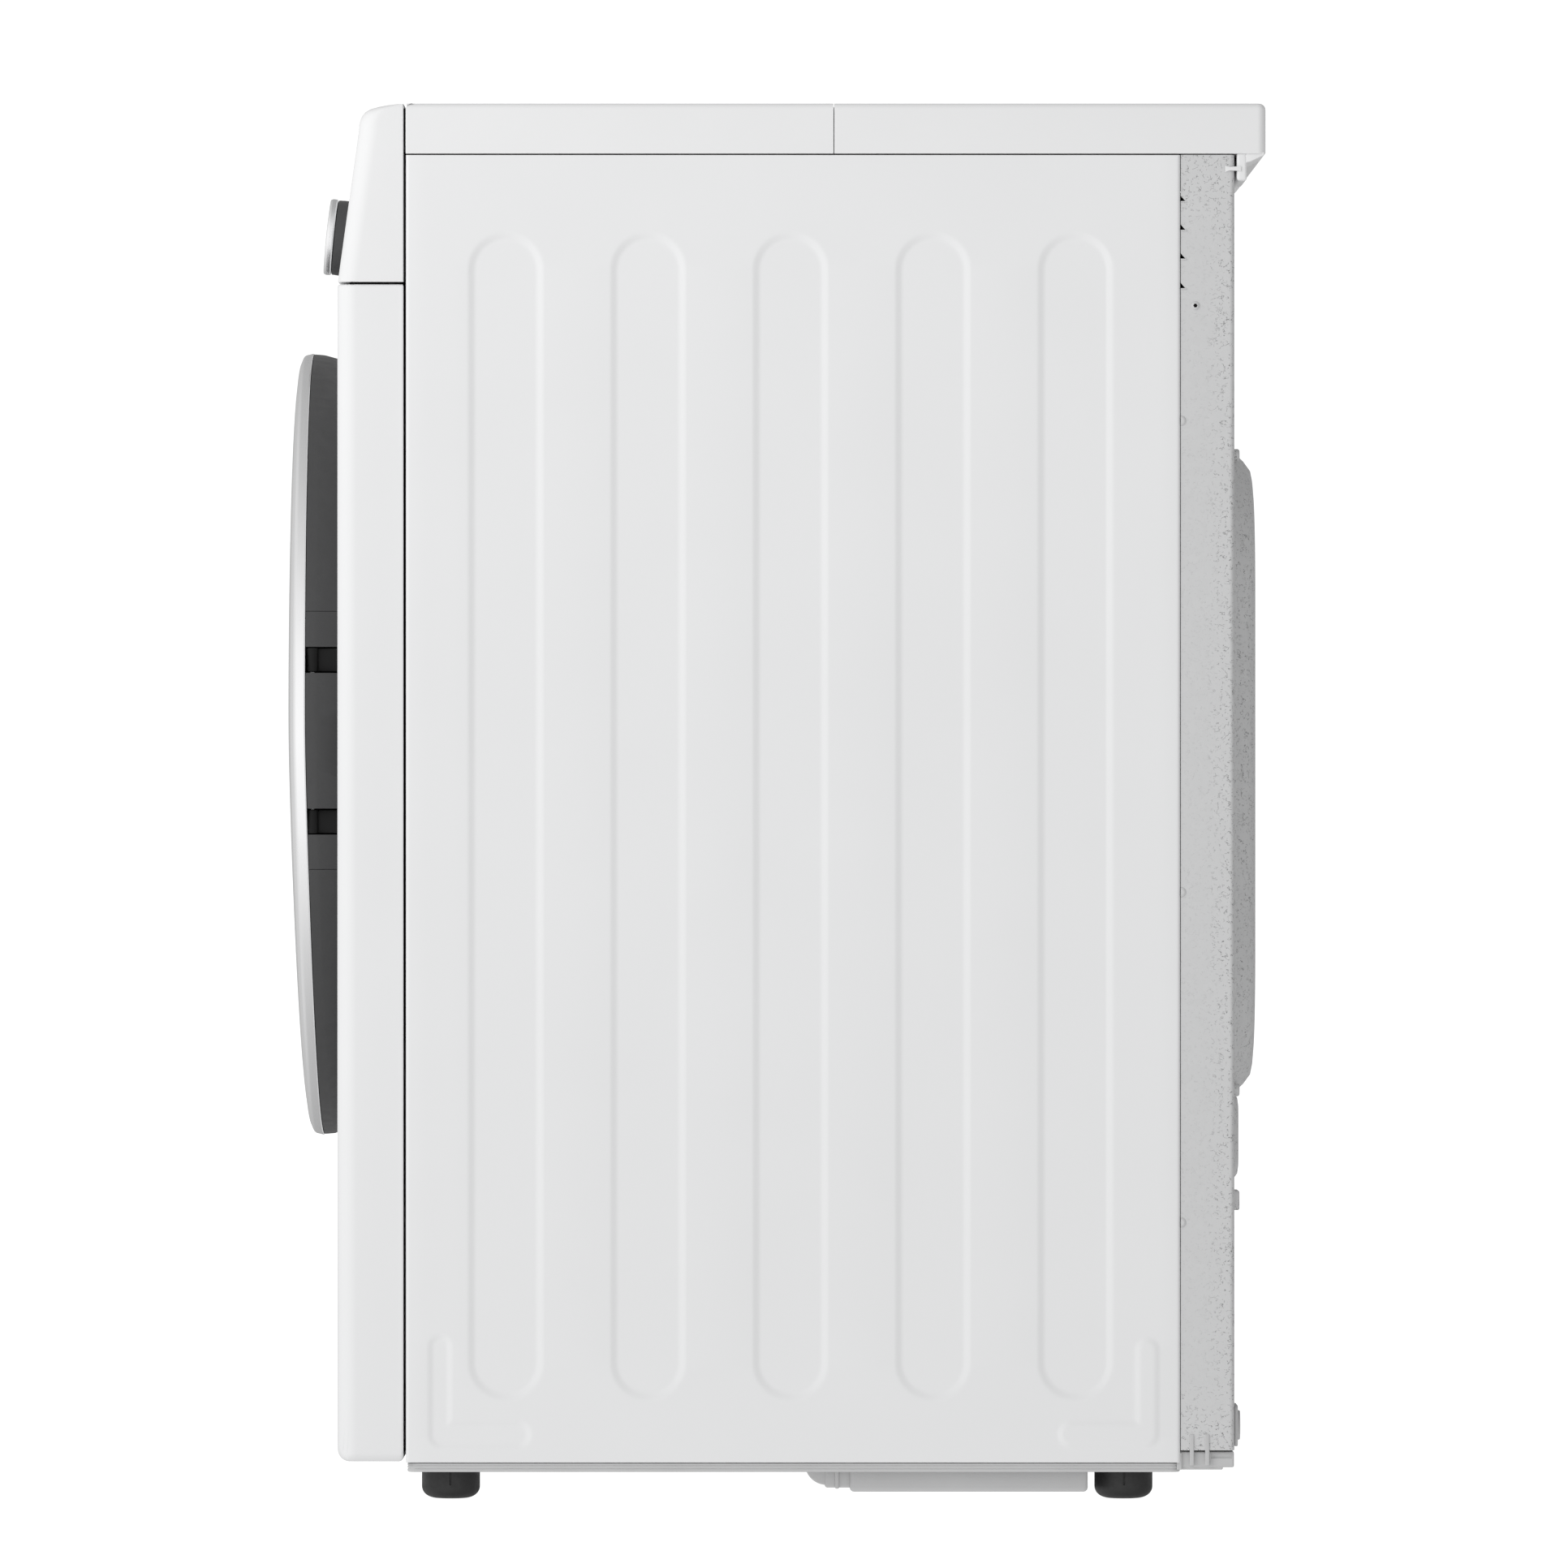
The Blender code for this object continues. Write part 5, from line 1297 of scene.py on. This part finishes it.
def rear_sheet():
    """The sheet with its raised swage and hose clip, its air holes and the slots of its louvres."""
    front, back, x = behind(EDGE_FRONT), behind(REAR_FACE), EDGE_X
    back_inside = behind(REAR_FACE - SKIN)
    section = [
        (-x, front), (-x, back, 0.0030), (x, back, 0.0030), (x, front), (x - SKIN, front),
        (x - SKIN, back_inside, 0.0018), (-x + SKIN, back_inside, 0.0018), (-x + SKIN, front),
    ]
    low, high = LOW["rear_panel"].z, HIGH["rear_panel"].z
    wall = prism("rear_sheet", rounded_path(section), low, high, ZINC, edge=0.0003, steps=1)
    swage = [
        (0, REAR_FACE - 0.0006), (0.0006, REAR_FACE + 0.0003), (0.0045, 0.5500), (0.0080, 0.5524),
        (0.0120, 0.5530),
    ]
    swage = [(drawn, -behind(depth)) for drawn, depth in swage]
    raised = stacked("swage", [rectangle(-0.156, 0.1870, 0.156, 0.2500, 0.020)], swage, ZINC, TURN["-Y"])
    clip = block("hose_clip", *span(0.205, 0.235, REAR_FACE - 0.0006, 0.5510, 0.1750, 0.1870), ZINC, 0.0012)
    carve(wall, [raised, clip], "UNION", sharp=35)
    tools = [rod("bearing_hole", 0, AXIS_Z, 0.0270, 0.530, 0.560)]
    for i in range(8):
        angle = math.radians(22.5 + 45 * i)
        hole_x, hole_z = 0.130 * math.cos(angle), AXIS_Z + 0.130 * math.sin(angle)
        tools.append(rod("air_hole", hole_x, hole_z, 0.0260, 0.530, 0.560, steps=64))
    for side in (-1, 1):
        for z in LOUVRES:
            slot = [(-0.001, -0.0014), (0.0028, -0.0014), (-0.001, 0.0030)]
            slot = [(EDGE_FRONT + depth, z + up) for depth, up in slot]
            tools.append(sideways("louvre", slot, *on_side(side, x - 0.004, x + 0.004)))
    return carve(wall, tools, sharp=35)


def edge_bump(side, z):
    """A low dome, cut off where the side panel begins."""
    dome = rounded_path([
        (0, -0.001), (0.0034, -0.001), (0.0030, 0.0004, 0.001), (0.0018, 0.0010, 0.001), (0, 0.0010),
    ], closed=False)
    bump = turned("bump", dome, outwards(side, EDGE_FRONT + 0.0002, z), ZINC, 40)
    kept = span(-0.4, 0.4, EDGE_FRONT + 0.0001, EDGE_FRONT + 0.02, z - 0.01, z + 0.01)
    return carve(bump, [block("kept", *kept, edge=0.0001)], "INTERSECT")


def edge_screw(side):
    place = outwards(side, 0.5222, 0.7270)
    head = rounded_path([
        (0, -0.0010), (0.0027, -0.0010), (0.0027, 0.0003, 0.0003), (0.0016, 0.0011, 0.0010), (0, 0.0012),
    ], closed=False)
    # The socket's walls and floor take the near-black finish: painted shade in the recess.
    socket = prism("socket", circle(0, 0, 0.0013, 6), 0.0004, 0.0030, SHADOW_BLACK, place)
    return carve(turned("screw", head, place, ZINC, 48), [socket])


def rear_wall():
    pieces = [rear_sheet()]
    for side in (-1, 1):
        x0, x1 = on_side(side, EDGE_X - 0.0006, EDGE_X + 0.0006)
        for z in LOUVRES:
            lip = span(x0, x1, EDGE_FRONT, EDGE_FRONT + 0.0036, z - 0.0022, z - 0.0014)
            pieces.append(block("lip", *lip, ZINC, 0.0002))
        pieces += [edge_bump(side, z) for z in BUMPS]
        pieces.append(edge_screw(side))
    fit(merge("rear_sheet", pieces), "cabinet", "rear_panel")


def duct_cover():
    """A hollow pressing with a stepped border, and its four screws."""
    top, base = -behind(REAR_FACE + 0.0165), -behind(REAR_FACE + 0.0003)
    outer = [
        (0, base), (0.0008, base - 0.0008), (0.0060, base - 0.0040), (0.0120, base - 0.0105),
        (0.0175, base - 0.0145), (0.0230, top + 0.0006), (0.0300, top),
    ]
    inner = [
        (0.0016, base + 0.0050), (0.0024, base - 0.0006), (0.0070, base - 0.0030), (0.0130, base - 0.0095),
        (0.0185, base - 0.0133), (0.0300, top + 0.0014),
    ]
    outline = rectangle(-0.205, 0.238, 0.205, 0.648, 0.090)
    duct = stacked("duct_cover_pressing", [outline], outer, ZINC, TURN["-Y"], sharp=50)
    carve(duct, [stacked("hollow", [outline], inner, None, TURN["-Y"], sharp=50)], sharp=50)
    screws = []
    for x, z in ((-0.150, 0.247), (0.150, 0.247), (-0.150, 0.639), (0.150, 0.639)):
        screws.append(rod("duct_screw", x, z, 0.0040, REAR_FACE, REAR_FACE + 0.0075, ZINC, 0.0015))
    fit(merge("duct_cover_pressing", [duct, *screws]), "cabinet", "rear_duct_cover")


def drain_outlet():
    low, high = LOW["drain_outlet"], HIGH["drain_outlet"]
    corners = [(low.x, low.z, 0.003), (high.x, low.z, 0.005), (high.x, high.z, 0.003), (low.x, high.z, 0.003)]
    face, back = -behind(0.5484), -behind(REAR_FACE + 0.0003)
    outlet = prism("drain_plate", rounded_path(corners), face, back, BASE_PLASTIC, TURN["-Y"], 0.0006)
    pipe = rounded_path([
        (0.0060, -0.5480), (0.0090, -0.5480), (0.0090, -0.5498, 0.0005), (0.0084, -0.5502, 0.0003),
        (0.0060, -0.5502, 0.0003),
    ])
    pipe = turned("drain_pipe", pipe, about_axis(0.270, 0.0450), BASE_PLASTIC, 64)
    fit(merge("drain_plate", [outlet, pipe]), "cabinet", "drain_outlet")


def cord_gland():
    profile = rounded_path([
        (0.0040, -0.5463), (0.0130, -0.5463, 0.0006), (0.0130, -0.5520, 0.0016), (0.0082, -0.5524, 0.0010),
        (0.0078, -0.5540, 0.0004), (0.0066, -0.5544, 0.0004), (0.0074, -0.5560, 0.0004),
        (0.0064, -0.5566, 0.0004), (0.0070, -0.5584, 0.0004), (0.0062, -0.5600, 0.0006),
        (0.0040, -0.5600, 0.0004),
    ])
    gland = turned("cord_entry_gland", profile, about_axis(-0.2350, 0.1000), RUBBER, 64)
    fit(gland, "cabinet", "cord_gland")


rear_wall()
duct_cover()
drain_outlet()
cord_gland()


# ---- Base pan
TUB_FOOT = 0.0175


def base_tub():
    """A tray with two grooves round its wall, and a deeper tub, a sump and the rear blocks joined to it."""
    low, high = LOW["base_pan"], HIGH["base_pan"]
    outline = rectangle(low.x, behind(0.0429), high.x + 0.0010, behind(0.5129), 0.006)
    groove = 0.0004
    levels = [
        (0.0006, 0), (0, 0.0006), (0, 0.0015), (groove, 0.0018), (groove, 0.0022), (0, 0.0025), (0, 0.0033),
        (groove, 0.0036), (groove, 0.0040), (0, 0.0043), (0, 0.0050), (0.0005, 0.0055),
    ]
    pan = stacked("base_tub", [outline], [(drawn, TUB_FOOT + up) for drawn, up in levels], BASE_PLASTIC)
    nose = circle(behind(0.2980), 0.0222, 0.0134, 96)
    joined = [
        block("tub", *span(-0.284, 0.284, 0.0515, 0.5065, 0.0174, 0.100), edge=0.004),
        block("sump", *span(-0.120, 0.286, 0.3120, 0.4570, 0.0048, 0.0192), edge=0.0026),
        block("sump_step", *span(-0.060, 0.283, 0.2968, 0.3135, 0.0072, 0.0190), edge=0.0016),
        block("sump_rib", *span(-0.060, 0.2846, 0.3030, 0.3056, 0.0066, 0.0190), edge=0.0010),
        prism("sump_nose", nose, -0.059, 0.282, matrix=TURN["X"], edge=0.0010),
        block("rear_block", *span(-0.2965, 0.2965, 0.5105, 0.5458, 0.0202, 0.0300), edge=0.0012),
        block("rear_foot", *span(-0.2960, 0.2960, 0.5090, 0.5390, 0.0188, 0.0210), edge=0.0008),
    ]
    for side in (-1, 1):
        upright = span(*on_side(side, 0.2940, 0.2984), 0.5108, 0.5140, 0.0188, 0.0292)
        joined.append(block("upright", *upright, edge=0.0006))
        for depth in (0.5188, 0.5282):
            post = span(*on_side(side, 0.2960, 0.2994), depth, depth + 0.0026, 0.0215, 0.0405)
            joined.append(block("post", *post, edge=0.0006))
    return carve(pan, joined, "UNION", sharp=35)


def base_pan():
    pan = base_tub()
    tools = [
        block("tub_inside", *span(-0.281, 0.281, 0.0545, 0.5035, 0.0205, 0.200), edge=0.004),
        block("sump_inside", *span(-0.117, 0.117, 0.3150, 0.4540, 0.0080, 0.0300), edge=0.003),
        block("skirt_inside", *span(0.120, 0.283, 0.3150, 0.4540, -0.010, 0.0160), edge=0.003),
    ]
    for side in (-1, 1):
        slot = span(*on_side(side, 0.2955, 0.3100), 0.5318, 0.5446, 0.0257, 0.0289)
        tools.append(block("slot", *slot, edge=0.0003))
    for name in FEET:
        middle = (LOW[name] + HIGH[name]) / 2
        bore = [(0, -0.03), (0.0050, -0.03), (0.0050, 0.03), (0, 0.03)]
        tools.append(turned("thread", bore, Matrix.Translation((middle.x, middle.y, 0.02))))
    carve(pan, tools, sharp=35)
    for x in (-0.118, 0.118):
        wall = block("duct_wall", *span(x - 0.0015, x + 0.0015, 0.0530, 0.2600, 0.0195, 0.0980), edge=0.0006)
        carve(pan, [wall], "UNION", sharp=35)
    fit(pan, "cabinet", "base_pan")


base_pan()


# ---- The loading throat and the rollers, turned finer than in the CAD model
def throat():
    inner, outer = 0.1830, 0.1865
    ring = rounded_path([
        (inner, -0.0458, 0.0008), (outer, -0.0458, 0.0008), (outer, -0.0990, 0.002),
        (0.2280, -0.1004, 0.0008), (0.2280, -0.1030, 0.0008), (inner + 0.0010, -0.1030, 0.0010),
        (inner, -0.1020, 0.0006),
    ])
    made = turned("throat_ring", ring, DOOR, GREY_PLASTIC, 200)
    carve(made, [block("chute_gap", *span(-0.1183, 0.1183, 0.0637, 0.1100, 0.1000, 0.3300), edge=0.0004)])
    fit(made, "cabinet", "drum_throat")


def ring_profile(inner, outer, front, back, inner_edge, outer_edge):
    """The square section of a turned ring, between two depths."""
    return rounded_path([
        (inner, -front, inner_edge), (outer, -front, outer_edge), (outer, -back, outer_edge),
        (inner, -back, inner_edge),
    ])


def rollers():
    for name in ("roller_left", "roller_right"):
        middle = (LOW[name] + HIGH[name]) / 2
        r = (HIGH[name].x - LOW[name].x) / 2
        place = about_axis(middle.x, middle.z)
        tyre = ring_profile(r - 0.006, r, 0.1180, 0.1360, 0.0005, 0.0015)
        hub = ring_profile(0.0045, r - 0.006, 0.1185, 0.1355, 0.0004, 0.0004)
        tyre = turned("tyre", tyre, place, RUBBER, 96)
        hub = turned("hub", hub, place, DARK_PLASTIC, 64)
        fit(merge(name + "_wheel", [tyre, hub]), name, name)


throat()
rollers()


# ---- The CAD nodes that show as they are, such as the drive and the heat pump
SLOT_FINISH = {
    "white_enamel": ENAMEL, "white_plastic": WHITE_PLASTIC, "white_laminate": LAMINATE,
    "grey_plastic": GREY_PLASTIC, "dark_plastic": DARK_PLASTIC, "bright_rim": CHROME,
    "dark_glass": DARK_GLASS, "clear_glass": CLEAR_GLASS, "rubber": RUBBER, "felt": FELT,
    "galvanised_steel": ZINC, "stainless_steel": STAINLESS, "circuit_board": CIRCUIT,
    "black_steel": BLACK_STEEL, "aluminium_fins": FINS, "filter_mesh": MESH,
}
for subpart in frame["record"]["subparts"]:
    shown = frame["nodes"][subpart["node"]]
    if not shown.hide_render:
        shown.data.materials.clear()
        shown.data.materials.append(SLOT_FINISH[subpart["material_slot"]])


# ---- Studio: a pale room that is brightest on the machine's right, with more light from the front
ROOM = 0.88
# The room's brightness by the X of a direction.
ROOM_LEVELS = [(-1.0, 0.46), (0.0, 0.54), (0.35, 0.68), (0.62, 0.86), (0.85, 1.08), (1.0, 1.24)]
FRONT_LIGHT = 0.46  # added towards the front
FLOOR_LIGHT = 0.80  # sent back up by the floor, on dull surfaces only
AMBIENT_SHARE = 0.745  # the share of the room's light that dull surfaces get
BACKDROP, FLOOR_GLOW = 1.1, 0.94
KEY_POWER, KEY_SIZE, KEY_PLACE, KEY_AIM = 27.0, 1.3, (1.7, -1.9, 1.9), (0.2, -0.1, 0.45)
CAMERA_DISTANCE, HALF_VIEW = 9.3, 0.4768
EYE_Y, EYE_Z = 0.0055, 0.436
FLOOR_SIZE, FLOOR_DROP = 60, 0.0004


def room_colour(tree, directions, dull):
    """The room's light from each direction."""
    ramp = tree.nodes.new("ShaderNodeValToRGB")
    tree.links.new(map_range(tree, directions["X"], 0.0, 1.0, -1.0, 1.0), ramp.inputs["Fac"])
    stops = ramp.color_ramp.elements
    for x, _ in ROOM_LEVELS[1:-1]:
        stops.new((x + 1) / 2)
    for stop, (_, brightness) in zip(stops, ROOM_LEVELS):
        stop.color = (brightness * ROOM, brightness * ROOM, brightness * ROOM, 1)
    front = map_range(tree, directions["Y"], 0.0, FRONT_LIGHT, 0.0, -1.0)
    floor = map_range(tree, directions["Z"], 0.0, FLOOR_LIGHT, 0.0, -1.0)
    floor = combine(tree, "ShaderNodeMath", "MULTIPLY", floor, dull)
    total = combine(tree, "ShaderNodeVectorMath", "ADD", ramp.outputs["Color"], front)
    return combine(tree, "ShaderNodeVectorMath", "ADD", total, floor)


def world_light(scene):
    """The room's light on the object, and a plain white backdrop for the camera."""
    scene.world = bpy.data.worlds.new("studio")
    scene.world.use_nodes = True
    tree = scene.world.node_tree
    nodes, links = tree.nodes, tree.links
    split = nodes.new("ShaderNodeSeparateXYZ")
    links.new(nodes.new("ShaderNodeTexCoord").outputs["Generated"], split.inputs[0])
    rays = nodes.new("ShaderNodeLightPath").outputs
    dull = rays["Is Diffuse Ray"]
    room = nodes["Background"]
    links.new(room_colour(tree, split.outputs, dull), room.inputs["Color"])
    links.new(map_range(tree, dull, 1.0, AMBIENT_SHARE, 0.0, 1.0), room.inputs["Strength"])
    backdrop = nodes.new("ShaderNodeBackground")
    backdrop.inputs["Color"].default_value = (1, 1, 1, 1)
    backdrop.inputs["Strength"].default_value = BACKDROP
    mix = nodes.new("ShaderNodeMixShader")
    for socket, value in zip(mix.inputs, (rays["Is Camera Ray"], room.outputs[0], backdrop.outputs[0])):
        links.new(value, socket)
    links.new(mix.outputs[0], nodes["World Output"].inputs["Surface"])


def placed(name, data, location):
    """A new object for a light or a camera."""
    obj = bpy.data.objects.new(name, data)
    bpy.context.scene.collection.objects.link(obj)
    obj.location = location
    return obj


def key_light():
    light = bpy.data.lights.new("key", "AREA")
    light.size = KEY_SIZE
    light.energy = KEY_POWER
    lamp = placed("key", light, KEY_PLACE)
    lamp.visible_glossy = False
    lamp.rotation_euler = (Vector(KEY_AIM) - lamp.location).to_track_quat("-Z", "Y").to_euler()


def pale_floor():
    """A floor that only the camera sees. The world gives the light that it would send up."""
    finish = Finish("pale_floor", (0.35, 0.35, 0.35), 0.9)
    finish.shader.inputs["Emission Color"].default_value = (1, 1, 1, 1)
    finish.shader.inputs["Emission Strength"].default_value = FLOOR_GLOW
    corners = [(x * FLOOR_SIZE, y * FLOOR_SIZE, 0) for x, y in ((-1, -1), (1, -1), (1, 1), (-1, 1))]
    floor = shape("floor", corners, [(0, 1, 2, 3)], finish.made)
    floor.location.z = -FLOOR_DROP
    floor.visible_glossy = False
    floor.visible_diffuse = False
    floor.visible_transmission = False


def camera(scene):
    """A level view of the machine's right side from far off."""
    lens = bpy.data.cameras.new("camera")
    lens.lens = 18 * CAMERA_DISTANCE / HALF_VIEW
    lens.clip_end = 200
    scene.camera = placed("camera", lens, (CAMERA_DISTANCE + HALF, EYE_Y, EYE_Z))
    scene.camera.rotation_euler = (math.pi / 2, 0, math.pi / 2)


def studio():
    scene = bpy.context.scene
    for name in ("Cube", "Light", "Camera"):
        if name in bpy.data.objects:
            bpy.data.objects.remove(bpy.data.objects[name], do_unlink=True)
    scene.view_settings.view_transform = "Standard"
    world_light(scene)
    key_light()
    pale_floor()
    camera(scene)


studio()
